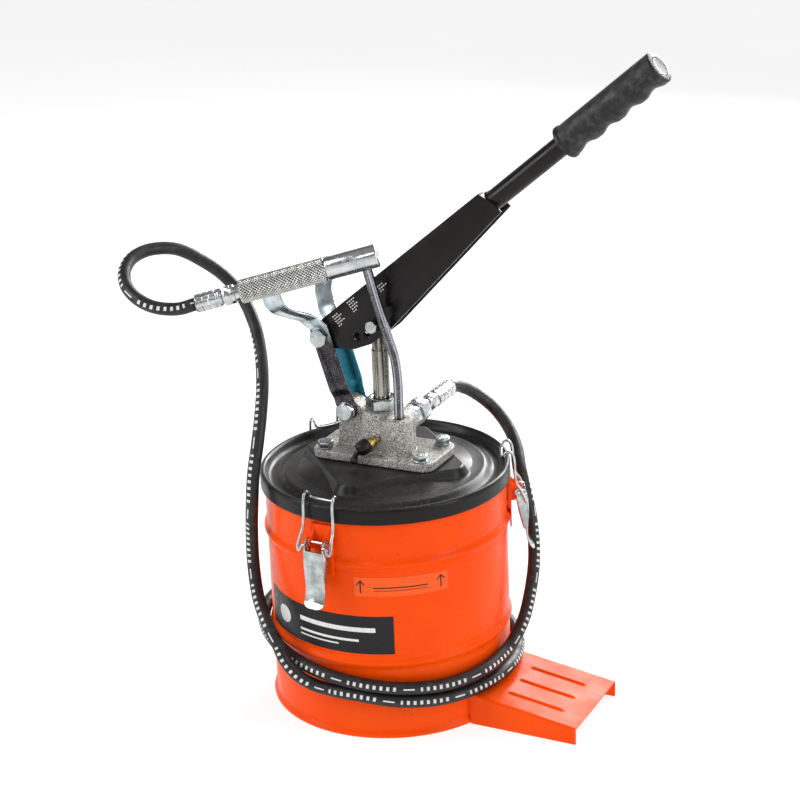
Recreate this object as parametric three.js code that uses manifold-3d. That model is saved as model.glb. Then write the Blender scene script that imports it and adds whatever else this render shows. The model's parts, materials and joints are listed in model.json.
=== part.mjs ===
// Hand-lever bucket grease pump: a sheet-steel bucket on a pedal plate, a clipped lid that
// carries the cast pump head, a rocking lever on two straps, and a wrapped high-pressure hose
// that ends in a parked control handle.
//
// Units are millimetres. +Z is up, +X is the direction that the lever and the foot plate
// point in, and the origin is the centre of the bucket's bottom, on the floor.

import * as THREE from 'three';
import { mergeVertices } from 'three/addons/utils/BufferGeometryUtils.js';
import Module from 'manifold-3d';

const wasm = await Module();
wasm.setup();

// ---------------------------------------------------------------- driving dimensions

const GAP = 0.3;                    // clearance between touching pieces

const BUCKET_R = 114.2;             // outside of the bucket wall
const WALL = 1.4;                   // sheet thickness of the bucket
const HEM_R = 117;                  // bottom hem
const BUCKET_TOP = 226;             // top of the bucket wall, under the lid
const BEAD_Z = [76, 175];           // two rolled beads round the wall
const BEAD_H = 1.8;                 // how far a bead stands out

const LID_R = 118;                  // lid skirt
const LID_TOP = 231;                // top of the lid's rolled rim
const SKIRT_Z = 215.6;              // lower edge of the lid skirt
const PAD_TOP = 237.4;              // raised square pad that the head stands on
const PAD = { half: 60.7, corner: 14, foot: 228, spread: 1.07 };   // its size at the top, and how it widens

const FOOT = { end: 211, width: 102.5, zIn: 30, zOut: 16, sheet: 2 };

const FLANGE = { x: 62.5, y: 32, z0: 238.5, z1: 246.5, r: 12, boltX: 49.5, boltY: 23.7 };
const TOWER = { r: 21, top: 285 };
const GLAND = { flats: 27, z0: 285.4, z1: 296, turn: 27 };
const BOSS = { x: 26.5, y: -18, r: 13, top: 284, bore: 4.9, floor: 258 };
const OUTLET = { x: 22, z: 274, face: 9 };

const LINK_PIN = [-31, 282];        // strap pivot in the head's lug (x, z)
const FULCRUM = [-53, 353];         // strap pivot in the lever (x, z)
const ROD_PIN = [0, 368];           // rod pin in the lever (x, z)
const ROD_R = 8;
const TUBE_R = 17;                  // pump tube, outside
const TUBE_BORE = 14;

const LEVER = { half: 12, sheet: 2.5, slope: 39.5, barR: 10, gripR: 15 };
const STRAP = { width: 19.6, sheet: 3.5, lean: 17.2, inner: 12.6, innerLow: 9.8 };

const CLIP_AZIMUTHS = [-93, 27, 147];
const CLIP = { pivot: [125, 197.5], bail: [131, 195.5], half: 10.2, wire: 1.45 };

const HOSE_R = 6;
const NIPPLE = { from: new THREE.Vector3(2.5, -24.4, 260.5), to: new THREE.Vector3(-6.3, -36.56, 255.06) };
const GUN_END = new THREE.Vector3(14.9, -23.7, 440.5);     // closed end of the gun's head
const GUN_TAIL = new THREE.Vector3(-134.4, -97, 400.8);    // where the hose enters its ferrule
const PIPE_R = 4.5;

// ---------------------------------------------------------------- materials

const paint = (color, roughness) => new THREE.MeshStandardMaterial({ color, roughness, metalness: 0.1 });
const metal = (color, roughness) => new THREE.MeshStandardMaterial({ color, roughness, metalness: 0.9 });

const ORANGE = paint(0xf2540c, 0.35);
const BLACK_PAINT = paint(0x101012, 0.35);
const BLACK_LEVER = paint(0x0c0c0d, 0.3);
const RUBBER = paint(0x1c1c1d, 0.8);
const GRIP = paint(0x141415, 0.6);
const NITRILE = paint(0x26211e, 0.9);
const ZINC = metal(0xc9cdd0, 0.28);
const CAST = metal(0xa9a7a2, 0.6);
const STEEL = metal(0xb5b8bb, 0.3);
const BRASS = metal(0xb08b3a, 0.35);

// ---------------------------------------------------------------- geometry helpers

const DEG = Math.PI / 180;
const v3 = (x, y, z) => new THREE.Vector3(x, y, z);

function signedVolume(geometry) {
  const p = geometry.attributes.position;
  const index = geometry.index.array;
  const [a, b, c] = [v3(), v3(), v3()];
  let volume = 0;
  for (let i = 0; i < index.length; i += 3) {
    a.fromBufferAttribute(p, index[i]);
    b.fromBufferAttribute(p, index[i + 1]);
    c.fromBufferAttribute(p, index[i + 2]);
    volume += a.dot(b.clone().cross(c)) / 6;
  }
  return volume;
}

// A closed, outward-facing, welded geometry.
function closed(source) {
  const geometry = source.clone();
  geometry.deleteAttribute('normal');
  geometry.deleteAttribute('uv');
  const welded = mergeVertices(geometry, 1e-4);
  const kept = [];
  const index = welded.index.array;
  for (let i = 0; i < index.length; i += 3) {
    const [a, b, c] = [index[i], index[i + 1], index[i + 2]];
    if (a !== b && b !== c && c !== a) kept.push(a, b, c);
  }
  welded.setIndex(kept);
  if (signedVolume(welded) < 0) {
    const flipped = [];
    for (let i = 0; i < kept.length; i += 3) flipped.push(kept[i], kept[i + 2], kept[i + 1]);
    welded.setIndex(flipped);
  }
  return welded;
}

function toSolid(source) {
  const geometry = closed(source);
  const mesh = new wasm.Mesh({
    numProp: 3,
    vertProperties: new Float32Array(geometry.attributes.position.array),
    triVerts: new Uint32Array(geometry.index.array),
  });
  return new wasm.Manifold(mesh);
}

function fromSolid(solid) {
  const mesh = solid.getMesh();
  const geometry = new THREE.BufferGeometry();
  geometry.setAttribute('position', new THREE.BufferAttribute(new Float32Array(mesh.vertProperties), 3));
  geometry.setIndex([...mesh.triVerts]);
  return geometry;
}

const union = (...parts) => fromSolid(parts.map(toSolid).reduce((a, b) => a.add(b)));
const cut = (body, ...tools) => fromSolid(tools.map(toSolid).reduce((a, b) => a.subtract(b), toSolid(body)));

// Solid of revolution round Z from [radius, z] points. A profile that isn't on the axis closes on itself.
function lathe(profile, segments = 32) {
  const points = profile.map(([r, z]) => new THREE.Vector2(r, z));
  const onAxis = profile[0][0] === 0 && profile.at(-1)[0] === 0;
  if (!onAxis) points.push(points[0].clone());
  return closed(new THREE.LatheGeometry(points, segments).rotateX(Math.PI / 2));
}

const cylinder = (r, z0, z1, segments = 24) => lathe([[0, z0], [r, z0], [r, z1], [0, z1]], segments);
const ring = (inner, outer, z0, z1, segments = 32) =>
  lathe([[inner, z0], [outer, z0], [outer, z1], [inner, z1]], segments);

// Cylinder along Y, centred on (x, z).
const pinY = (r, x, z, y0, y1, segments = 20) =>
  closed(cylinder(r, y0, y1, segments).rotateX(-Math.PI / 2).translate(x, 0, z));

// Prism with an outline in X-Y, standing on z0.
function prismZ(points, z0, z1) {
  const shape = new THREE.Shape(points.map(([x, y]) => new THREE.Vector2(x, y)));
  return closed(new THREE.ExtrudeGeometry(shape, { depth: z1 - z0, bevelEnabled: false }).translate(0, 0, z0));
}

// Prism with an outline in X-Z, reaching from y0 to y1.
function prismY(points, y0, y1) {
  const shape = new THREE.Shape(points.map(([x, z]) => new THREE.Vector2(x, z)));
  const geometry = new THREE.ExtrudeGeometry(shape, { depth: y1 - y0, bevelEnabled: false });
  return closed(geometry.rotateX(Math.PI / 2).translate(0, y1, 0));
}

function arc(cx, cy, r, from, to, steps) {
  return Array.from({ length: steps + 1 }, (_, i) => {
    const a = (from + ((to - from) * i) / steps) * DEG;
    return [cx + r * Math.cos(a), cy + r * Math.sin(a)];
  });
}

function roundedRectangle(hx, hy, r, steps = 4) {
  return [
    ...arc(hx - r, hy - r, r, 0, 90, steps),
    ...arc(-hx + r, hy - r, r, 90, 180, steps),
    ...arc(-hx + r, -hy + r, r, 180, 270, steps),
    ...arc(hx - r, -hy + r, r, 270, 360, steps),
  ];
}

const hexagon = (flats, turn = 0) => arc(0, 0, flats / Math.sqrt(3), turn, turn + 300, 5);

// Tube along a smooth open curve.
function sweep(points, radius, steps, sides = 8, tension = 0.5) {
  const curve = new THREE.CatmullRomCurve3(points, false, 'catmullrom', tension);
  const section = new THREE.Shape(arc(0, 0, radius, 0, 360 - 360 / sides, sides - 1)
    .map(([x, y]) => new THREE.Vector2(x, y)));
  return closed(new THREE.ExtrudeGeometry(section, { steps, extrudePath: curve, bevelEnabled: false }));
}

// Geometry built along +Z, turned so that +Z runs from one point towards another.
function along(geometry, from, to) {
  const turn = new THREE.Quaternion().setFromUnitVectors(v3(0, 0, 1), to.clone().sub(from).normalize());
  return closed(geometry.applyQuaternion(turn).translate(from.x, from.y, from.z));
}

// Flat bar that follows a path. Its width always lies along `across`.
function flatBar(path, across, width, thickness) {
  const half = across.clone().normalize().multiplyScalar(width / 2);
  const rings = path.map((p, i) => {
    const tangent = path[Math.min(i + 1, path.length - 1)].clone().sub(path[Math.max(i - 1, 0)]);
    const normal = half.clone().cross(tangent).normalize().multiplyScalar(thickness / 2);
    return [
      p.clone().add(half).add(normal),
      p.clone().sub(half).add(normal),
      p.clone().sub(half).sub(normal),
      p.clone().add(half).sub(normal),
    ];
  });
  const positions = rings.flat().flatMap((q) => [q.x, q.y, q.z]);
  const index = [0, 2, 1, 0, 3, 2];
  for (let i = 0; i + 1 < rings.length; i += 1) {
    for (let k = 0; k < 4; k += 1) {
      const [a, b] = [4 * i + k, 4 * i + ((k + 1) % 4)];
      index.push(a, b, b + 4, a, b + 4, a + 4);
    }
  }
  const last = 4 * (rings.length - 1);
  index.push(last, last + 1, last + 2, last, last + 2, last + 3);
  const geometry = new THREE.BufferGeometry();
  geometry.setAttribute('position', new THREE.Float32BufferAttribute(positions, 3));
  geometry.setIndex(index);
  return closed(geometry);
}

const root = new THREE.Group();

function add(name, geometry, material, parent = root) {
  const mesh = new THREE.Mesh(geometry, material);
  mesh.name = name;
  parent.add(mesh);
  return mesh;
}

// ---------------------------------------------------------------- bucket

function bucketShell() {
  const inner = BUCKET_R - WALL;
  const outside = [[HEM_R, 0], [HEM_R, 4.5], [BUCKET_R + 0.4, 7]];
  const inside = [];
  for (const z of BEAD_Z) {
    outside.push([BUCKET_R, z - 6], [BUCKET_R + BEAD_H, z - 1.5], [BUCKET_R + BEAD_H, z + 1.5], [BUCKET_R, z + 6]);
    inside.push([inner, z - 5], [inner + BEAD_H, z], [inner, z + 5]);
  }
  const top = [[BUCKET_R, BUCKET_TOP - 5], [BUCKET_R + 1.6, BUCKET_TOP - 3], [BUCKET_R + 1.6, BUCKET_TOP], [inner, BUCKET_TOP]];
  return lathe([...outside, ...top, ...inside.reverse(), [inner, 0]], 40);
}

function footPlate() {
  const { end, width, zIn, zOut, sheet } = FOOT;
  const start = 100;
  const slope = (x) => zIn + ((zOut - zIn) * (x - BUCKET_R)) / (end - BUCKET_R);
  const half = width / 2;
  const side = [[start, 0], [end, 0], [end, slope(end)], [start, slope(start)]];
  const hollow = [[start - 5, -5], [end + 5, -5], [end + 5, slope(end + 5) - sheet], [start - 5, slope(start - 5) - sheet]];
  const tread = cut(prismY(side, -half, half), prismY(hollow, -half + sheet, half - sheet));
  const ribs = [-27, 0, 27].map((y) => {
    const [x0, x1] = [136, end - 20];
    const lift = (x) => slope(x) + 1.6;
    return prismY([[x0, slope(x0) - 1], [x1, slope(x1) - 1], [x1 - 3, lift(x1 - 3)], [x0 + 3, lift(x0 + 3)]], y - 3, y + 3);
  });
  const reach = cylinder(HEM_R + 0.6, -2, 40, 72);
  return cut(union(tread, ...ribs), reach);
}

// The pad in the lid: a rounded square with its corners on the X and Y axes, wider at its foot.
function pad(inset) {
  const half = PAD.half - inset;
  const block = prismZ(roundedRectangle(half, half, PAD.corner - inset), PAD.foot - 3 * inset, PAD_TOP - inset);
  const p = block.attributes.position;
  for (let i = 0; i < p.count; i += 1) {
    const spread = p.getZ(i) < PAD_TOP - inset - 1 ? PAD.spread : 1;
    p.setXY(i, p.getX(i) * spread, p.getY(i) * spread);
  }
  return closed(block.rotateZ(Math.PI / 4));
}

function lid() {
  const r = LID_R;
  const profile = [
    [r - 1.5, SKIRT_Z], [r, SKIRT_Z + 1], [r, LID_TOP - 2.4], [r - 2.4, LID_TOP], [r - 5, LID_TOP - 1.6],
    [r - 7.2, LID_TOP - 7.6], [r - 15, LID_TOP - 8.4], [r - 25, LID_TOP - 3.4], [50, LID_TOP + 1.2], [17.6, LID_TOP + 1.2],
    [17.6, LID_TOP - 0.6], [50, LID_TOP - 0.6], [r - 24, LID_TOP - 5.4], [r - 15, LID_TOP - 10.4], [r - 6.4, LID_TOP - 9.6],
    [r - 5.4, LID_TOP - 4.4], [r - 1.9, LID_TOP - 4.4],
  ];
  const sheet = 1.8;
  return cut(union(lathe(profile, 40), pad(0)), pad(sheet), cylinder(17.6, 200, 260, 32));
}

add('bucket_shell', bucketShell(), ORANGE);
add('bucket_base', cylinder(BUCKET_R - WALL - 0.4, 0, 2, 40), ORANGE);
add('foot_plate', footPlate(), ORANGE);
add('lid', lid(), BLACK_PAINT);
add('lid_gasket', ring(BUCKET_R - WALL + 0.5, BUCKET_R + 1.4, BUCKET_TOP + 0.1, BUCKET_TOP + 0.5, 40), NITRILE);
add('head_gasket', cut(prismZ(roundedRectangle(59, 29, 11), PAD_TOP + 0.15, FLANGE.z0 - 0.15),
  cylinder(TUBE_R + 0.4, 230, 240, 32)), NITRILE);

// ---------------------------------------------------------------- lid clips

// Each clip is built on the +X side of the bucket and turned into place.
function clip(k, azimuth) {
  const place = new THREE.Group();
  place.rotation.z = azimuth * DEG;
  root.add(place);
  const [pr, pz] = CLIP.pivot;
  const [br, bz] = CLIP.bail;
  const hole = (r, [x, z]) => pinY(r, x, z, -30, 30, 12);

  const base = BUCKET_R + 0.5;
  const plate = prismY([[base, 182], [base, 212], [base + 2.6, 212], [base + 3.2, 200], [base + 3.2, 164], [base + 1.9, 162], [base + 1.9, 182]], -11, 11);
  const ear = [[base + 1, pz - 9], [pr - 3, pz - 8], ...arc(pr, pz, 4, -60, 100, 6), [base + 1, pz + 12.5]];
  const bracket = cut(union(plate, prismY(ear, -8.2, -6.6), prismY(ear, 6.6, 8.2)), hole(1.85, CLIP.pivot));
  add(`clip_bracket_${k}`, bracket, ORANGE, place);
  add(`clip_pin_${k}`, pinY(1.5, pr, pz, -11, 11, 12), ZINC, place);

  const back = [v3(133.2, 0, 191.5), v3(133.6, 0, 177.5), v3(132.4, 0, 160.5), v3(132.6, 0, 150.5), v3(135.2, 0, 143), v3(139, 0, 137.5)];
  const face = flatBar(new THREE.CatmullRomCurve3(back).getPoints(8), v3(0, 1, 0), 2 * CLIP.half, 1.4);
  const cheek = [[132.9, 191.7], [132.9, 157.5], [128.5, 161.5], [124.5, 177.5], ...arc(pr, pz, 4.2, 215, 55, 8), [131.6, 199.5]];
  const [inner, outer] = [CLIP.half - 1.5, CLIP.half];
  const lever = cut(union(face, prismY(cheek, -outer, -inner), prismY(cheek, inner, outer)),
    hole(1.85, CLIP.pivot), hole(1.8, CLIP.bail));
  add(`clip_lever_${k}`, lever, ZINC, place);

  const side = (s) => [v3(br, s * 8.9, bz), v3(br, s * 12.4, bz), v3(br + 0.6, s * 15.6, bz - 5.5), v3(br - 0.4, s * 17.4, bz - 1.5),
    v3(br - 4, s * 16.4, bz + 7), v3(122.8, s * 15.8, 209.5), v3(121.4, s * 15.4, 220), v3(120.9, s * 15.2, 232),
    v3(119.2, s * 15.2, 239), v3(116, s * 15, 240.8), v3(112.6, s * 14.4, 239), v3(110.4, s * 12.6, 234.6)];
  const wire = sweep([...side(-1), v3(109.8, 0, 233.6), ...side(1).reverse()], CLIP.wire, 34, 6, 0.5);
  add(`clip_bail_${k}`, wire, ZINC, place);
}

CLIP_AZIMUTHS.forEach((azimuth, i) => clip(i + 1, azimuth));

// ---------------------------------------------------------------- pump head

function pumpHead() {
  const { x, y, z0, z1, r } = FLANGE;
  const flange = prismZ(roundedRectangle(x, y, r, 4), z0, z1);
  const tower = lathe([[0, z1 - 1], [TOWER.r + 2, z1 - 1], [TOWER.r, z1 + 4], [TOWER.r - 1, TOWER.top], [0, TOWER.top]], 36);
  const [px, pz] = LINK_PIN;
  const lugLow = prismY([[-44, z1 - 1], [-5, z1 - 1], [-5, 268], [-41.6, 268]], -9.5, 9.5);
  const lugTop = prismY([[-41.6, 267], [-8, 267], [-8, 280], [-17, 284.6], ...arc(px, pz, 11, 60, 180, 6)], -9.5, 9.5);
  const boss = lathe([[0, z1 - 1], [BOSS.r + 1, z1 - 1], [BOSS.r, z1 + 3], [BOSS.r - 0.6, BOSS.top - 0.8], [BOSS.r - 1.4, BOSS.top], [0, BOSS.top]], 32)
    .translate(BOSS.x, BOSS.y, 0);
  const outlet = pinY(11.5, OUTLET.x, OUTLET.z, -8, OUTLET.face, 28);
  const web = prismZ([[0, -20], [26, -16], [33, 0], [30, OUTLET.face - 1], [0, 17]], z1 - 1, OUTLET.z);
  const frontWeb = prismZ([[0, -19], [7, -21.4], [21.8, -30.1], [30, -16], [10, 0]], z1 - 1, BOSS.top - 3.2);
  const nippleBlock = prismY([[-11, z1 - 1], [8, z1 - 1], [7.4, 265], [4, 267.6], [-6.6, 267.6], [-10, 265]], -24, -8);
  const solid = union(flange, tower, lugLow, lugTop, boss, outlet, web, frontWeb, nippleBlock);
  const holes = [];
  for (const sx of [-1, 1]) {
    for (const sy of [-1, 1]) holes.push(cylinder(4.5, 230, 250, 16).translate(sx * FLANGE.boltX, sy * FLANGE.boltY, 0));
  }
  return cut(solid, ...holes,
    cylinder(ROD_R + 0.5, 200, 300, 32),
    cylinder(BOSS.bore, BOSS.floor, 300, 20).translate(BOSS.x, BOSS.y, 0),
    pinY(5.3, px, pz, -30, 30, 20),
    pinY(5.8, OUTLET.x, OUTLET.z, -2, 30, 16),
    pinY(13.4, OUTLET.x, OUTLET.z, OUTLET.face, 40, 24),
    along(cylinder(3.6, -6, 20, 16), NIPPLE.from, NIPPLE.to),
    along(cylinder(5.8, 2, 20, 20), NIPPLE.from, NIPPLE.to));
}

add('pump_head', pumpHead(), CAST);

let bolt = 0;
for (const sx of [-1, 1]) {
  for (const sy of [-1, 1]) {
    bolt += 1;
    const hex = prismZ(hexagon(13, 15 * bolt), FLANGE.z1 + 1.5, FLANGE.z1 + 7.4);
    const washer = cylinder(7.2, FLANGE.z1 + GAP, FLANGE.z1 + 1.6, 20);
    const shank = cylinder(4.2, FLANGE.z0 + 0.7, FLANGE.z1 + 1, 16);
    add(`head_bolt_${bolt}`, closed(union(hex, washer, shank).translate(sx * FLANGE.boltX, sy * FLANGE.boltY, 0)), ZINC);
  }
}

add('gland_nut', cut(union(prismZ(hexagon(GLAND.flats, GLAND.turn), GLAND.z0, GLAND.z1 - 1.8),
  lathe([[0, GLAND.z1 - 2], [13, GLAND.z1 - 2], [11.8, GLAND.z1], [0, GLAND.z1]], 24)),
cylinder(ROD_R + 0.9, 270, 310, 32), cylinder(ROD_R + 2.9, GLAND.z1 - 4, 310, 24)), ZINC);
add('gland_seal', ring(ROD_R + 0.35, ROD_R + 2.5, GLAND.z1 - 3.7, GLAND.z1 - 0.8, 24), NITRILE);
add('pump_tube', ring(TUBE_BORE, TUBE_R, 12, FLANGE.z0 - GAP, 28), STEEL);
add('foot_valve', cut(lathe([[0, 12.4], [13.6, 12.4], [13.6, 24], [7, 24], [4, 21], [0, 21]], 28), cylinder(3.4, 5, 30, 16)), STEEL);
add('inlet_ball', new THREE.SphereGeometry(5, 12, 8).rotateX(Math.PI / 2).translate(0, 0, 25.1), STEEL);

// Loader nipple with its pull-off rubber dust cap.
const nippleAxis = [[0, -5], [3.3, -5], [3.3, 2.2], [5.4, 2.4], [5.4, 6], [3.2, 6.4], [3.2, 10.5], [2.2, 11.5], [0, 11.5]];
add('loader_nipple', along(lathe(nippleAxis, 16), NIPPLE.from, NIPPLE.to), BRASS);
const capProfile = [[0, 12], [3.6, 12], [3.6, 6.8], [6.6, 6.8], [7.3, 8.5], [7.3, 15], [5.6, 18.2], [0, 19]];
const capBody = along(lathe(capProfile, 18), NIPPLE.from, NIPPLE.to);

// ---------------------------------------------------------------- rod and piston

const [rx, rz] = ROD_PIN;
const rodShaft = lathe([[0, 79], [6, 79], [6, 98], [ROD_R, 98], [ROD_R, 343], [7.4, 343.6], [7.4, 357], [0, 357]], 28);
add('piston_rod', rodShaft, ZINC);
const eyeOuter = [...arc(rx + 2, rz, 10.2, -90, 90, 8), ...arc(rx - 3.5, rz, 10.2, 90, 270, 8)];
const eyeSlot = [...arc(rx + 2.2, rz, 4.8, -90, 90, 6), ...arc(rx - 3.7, rz, 4.8, 90, 270, 6)];
add('rod_eye', cut(prismY(eyeOuter, -7.8, 7.8), prismY(eyeSlot, -20, 20), cylinder(9, 340, 357.8, 8).translate(0, 0, -0.5)), ZINC);
add('piston', ring(6.3, TUBE_BORE - GAP, 83, 97.5, 24), STEEL);

// ---------------------------------------------------------------- straps and their bolts

const hexHead = (flats, x, z, y0, y1) => prismY(hexagon(flats, 20).map(([a, b]) => [a + x, b + z]), y0, y1);

function strap(side) {
  const lean = STRAP.lean * DEG;
  const across = v3(Math.cos(lean), 0, Math.sin(lean));
  const up = v3(-Math.sin(lean), 0, Math.cos(lean));
  const [low, high] = [STRAP.innerLow + STRAP.sheet / 2, STRAP.inner + STRAP.sheet / 2];
  const pin = v3(LINK_PIN[0], 0, LINK_PIN[1]);
  const at = (s, y) => pin.clone().addScaledVector(up, s).setY(-y);
  const straight = [at(-9.5, low), at(14, low), at(17, low + 0.6), at(21, high - 0.6), at(24, high), at(60, high), at(82, high)];
  const hook = new THREE.CatmullRomCurve3([
    at(84, high), v3(-60, -16, 366), v3(-63.8, -19, 371), v3(-69.6, -27, 375.6), v3(-75, -34.5, 379.6),
    v3(-79, -42, 384.6), v3(-81.6, -47.6, 391.4), v3(-82.6, -50.2, 399), v3(-83, -50.8, 405), v3(-83.2, -50.9, 409)]);
  const path = [...straight, ...hook.getPoints(13)];
  const bar = flatBar(path, across, STRAP.width, STRAP.sheet);
  const drilled = cut(bar, pinY(5.3, ...LINK_PIN, -30, 30, 20), pinY(5.3, ...FULCRUM, -30, 30, 20));
  return side < 0 ? drilled : closed(drilled.scale(1, -1, 1));
}

add('link_front', strap(-1), ZINC);
add('link_rear', strap(1), ZINC);

const strapOut = STRAP.inner + STRAP.sheet + GAP;
const strapOutLow = STRAP.innerLow + STRAP.sheet + GAP;
add('link_bolt', union(pinY(5, ...LINK_PIN, -strapOutLow - 1, strapOutLow + 10, 20),
  hexHead(16, ...LINK_PIN, -strapOutLow - 7, -strapOutLow), pinY(9, ...LINK_PIN, -strapOutLow - 1.4, -strapOutLow, 20)), ZINC);
add('link_nut', cut(hexHead(16, ...LINK_PIN, strapOutLow, strapOutLow + 8), pinY(5.3, ...LINK_PIN, -30, 40, 20)), ZINC);
add('fulcrum_bolt', union(pinY(5, ...FULCRUM, -strapOut - 1, strapOut + 10, 20),
  hexHead(16, ...FULCRUM, -strapOut - 6.5, -strapOut)), ZINC);
add('fulcrum_nut', cut(hexHead(16, ...FULCRUM, strapOut, strapOut + 8), pinY(5.3, ...FULCRUM, -30, 40, 20)), ZINC);

// ---------------------------------------------------------------- lever

const slope = LEVER.slope * DEG;
const leverDir = v3(Math.cos(slope), 0, Math.sin(slope));
const gripEnd = v3(271.8, 0, 619.3);
const onLever = (distance) => gripEnd.clone().addScaledVector(leverDir, -distance);

function leverChannel() {
  const outline = [[-53, 342.6], [-42, 342], [-20, 343.6], [-3, 350.4], [17, 366], [104, 459], [130.7, 486.6],
    [124, 493.4], [109, 501], [50, 454], [-56, 366.8], [-61, 361.5], [-63, 353], [-60, 345.5]];
  const hollow = [[-80, 330], [-42, 330], [-2, 330], [140, 476], [140, 487], [111, 497.9], [50.4, 450.8], [-54.6, 364.2], [-80, 344]];
  const { half, sheet } = LEVER;
  const channel = cut(prismY(outline, -half, half), prismY(hollow, -half + sheet, half - sheet));
  const holes = [pinY(5.3, ...FULCRUM, -30, 30, 20), pinY(4.3, ...ROD_PIN, -30, 30, 20),
    pinY(4.2, -17, 356, -30, 30, 16), pinY(3.6, -6.4, 359.8, -30, -8, 16)];
  const barPath = cut(channel, ...holes);
  return cut(barPath, along(cylinder(LEVER.barR + GAP, 0, 90, 28), onLever(205), gripEnd));
}

add('lever_channel', leverChannel(), BLACK_LEVER);
add('rod_pin', union(pinY(4, ...ROD_PIN, -LEVER.half - 1, LEVER.half + 8, 20),
  hexHead(11, ...ROD_PIN, -LEVER.half - GAP - 4.4, -LEVER.half - GAP)), ZINC);
add('rod_pin_nut', cut(hexHead(13, ...ROD_PIN, LEVER.half + GAP, LEVER.half + 6.5), pinY(4.3, ...ROD_PIN, -30, 40, 20)), ZINC);
add('lever_bar', along(lathe([[0, 0], [9.3, 0], [9.3, 196], [8, 197], [0, 197]], 24), onLever(203), gripEnd), BLACK_LEVER);

// Moulded grip: a straight back, four finger scallops along its underside, and a flat end.
const gripLength = 110;
const SCALLOP = { first: 17, pitch: 25.5, radius: 15, depth: 2.8 };
const gripProfile = [[9.6, 0], [15.2, 0], [15.8, 0.6], [15.8, 3], [14.8, 4.6], [14.8, gripLength - 1.4], [13.6, gripLength - 0.2], [9.6, gripLength - 0.2]];
const under = v3(Math.sin(slope), 0, -Math.cos(slope));
const scallops = [0, 1, 2, 3].map((i) => {
  const at = onLever(gripLength - SCALLOP.first - i * SCALLOP.pitch).addScaledVector(under, 14.8 - SCALLOP.depth + SCALLOP.radius);
  return pinY(SCALLOP.radius, at.x, at.z, -30, 30, 20);
});
add('lever_grip', cut(along(lathe(gripProfile, 24), onLever(gripLength), gripEnd), ...scallops), GRIP);
add('grip_plug', along(lathe([[0, gripLength - 5.4], [9.2, gripLength - 5.4], [9.2, gripLength - 0.6], [7.6, gripLength], [0, gripLength]], 24),
  onLever(gripLength), gripEnd), GRIP);

// ---------------------------------------------------------------- follower plate in the bucket

add('follower_plate', lathe([[18, 150], [34, 152], [100, 152], [105.6, 150], [105.6, 151.6], [100.4, 153.6], [33.4, 153.6], [18, 151.6]], 28), STEEL);
add('follower_wiper', lathe([[106.2, 149], [111.2, 149], [112.1, 151], [112.1, 155], [106.2, 152.4]], 36), NITRILE);

// ---------------------------------------------------------------- outlet, hose and control handle

const outletY = OUTLET.face + GAP;
const outletPart = (profile, segments) => closed(lathe(profile, segments).rotateX(-Math.PI / 2).translate(OUTLET.x, 0, OUTLET.z));
const outletHex = (flats, y0, y1) => closed(prismZ(hexagon(flats, 12), y0, y1).rotateX(-Math.PI / 2).translate(OUTLET.x, 0, OUTLET.z));
const OUT = { adapter: 22, nut: 40, swage: 71, tail: 98 };

add('outlet_adapter', union(outletPart([[0, -1], [5.4, -1], [5.4, outletY + 1], [0, outletY + 1]], 20),
  outletHex(19, outletY, OUT.adapter - 3), outletPart([[0, OUT.adapter - 4], [7.4, OUT.adapter - 4], [7.4, OUT.adapter], [0, OUT.adapter]], 20)), ZINC);
add('swivel_nut', union(outletHex(22, OUT.adapter + GAP, OUT.nut - 4),
  outletPart([[0, OUT.nut - 5], [10.4, OUT.nut - 5], [9, OUT.nut], [0, OUT.nut]], 24)), ZINC);
add('outlet_tail', union(outletPart([[0, OUT.nut + GAP], [6.2, OUT.nut + GAP], [6.2, OUT.swage - 8], [0, OUT.swage - 8]], 20),
  outletHex(15, OUT.swage - 22, OUT.swage - 9)), ZINC);
const swage = (from, to) => {
  const profile = [[0, from]];
  const step = (to - from) / 4;
  for (let i = 0; i < 4; i += 1) {
    const z = from + i * step;
    profile.push([8.4, z], [8.4, z + 0.76 * step], [7.7, z + 0.88 * step]);
  }
  profile.push([8.4, to - 0.2], [8.4, to], [0, to]);
  return profile;
};
add('outlet_ferrule', outletPart(swage(OUT.swage - 7.6, OUT.tail), 16), ZINC);

const gunLength = GUN_END.distanceTo(GUN_TAIL);
const gunPart = (profile, segments) => along(lathe(profile, segments), GUN_END, GUN_TAIL);
const gunPoint = (s) => GUN_END.clone().lerp(GUN_TAIL, s / gunLength);
const PIPE_S = 11.5;                 // where the delivery pipe leaves the head
const pipeTop = gunPoint(PIPE_S);
const pipeRoute = [
  v3(BOSS.x, BOSS.y, BOSS.floor + 1), v3(BOSS.x, BOSS.y, 290), v3(BOSS.x, BOSS.y, 322), v3(24.6, -19, 344),
  v3(20.4, -20.9, 361), v3(12.7, -24.6, 393), v3(pipeTop.x + 1, pipeTop.y - 0.4, pipeTop.z - 9.6)];
add('gun_head', cut(gunPart([[0, 0], [9.4, 0], [10.7, 1.4], [10.7, 48.2], [0, 48.2]], 28),
  along(cylinder(PIPE_R + 0.5, -1, 30, 16), pipeTop.clone().add(v3(0.2, 0, -5.5)), pipeRoute.at(-1))), ZINC);
add('gun_pipe', sweep(pipeRoute, PIPE_R, 18, 10, 0.4), ZINC);
add('gun_handle', gunPart([[0, 48.6], [11, 48.6], [11, 128], [9.6, 129.4], [0, 129.4]], 28), ZINC);
const gunHex = along(prismZ(hexagon(17, 8), 137.4, 144), GUN_END, GUN_TAIL);
add('gun_coupler', union(gunPart([[0, 129.8], [7.4, 129.8], [7.4, 133.4], [8.8, 134], [8.8, 137.8], [0, 137.8]], 24), gunHex,
  gunPart([[0, 143], [6.6, 143], [6.6, 145.6], [0, 145.6]], 20)), ZINC);
add('gun_ferrule', gunPart(swage(146, gunLength), 16), ZINC);

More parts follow.
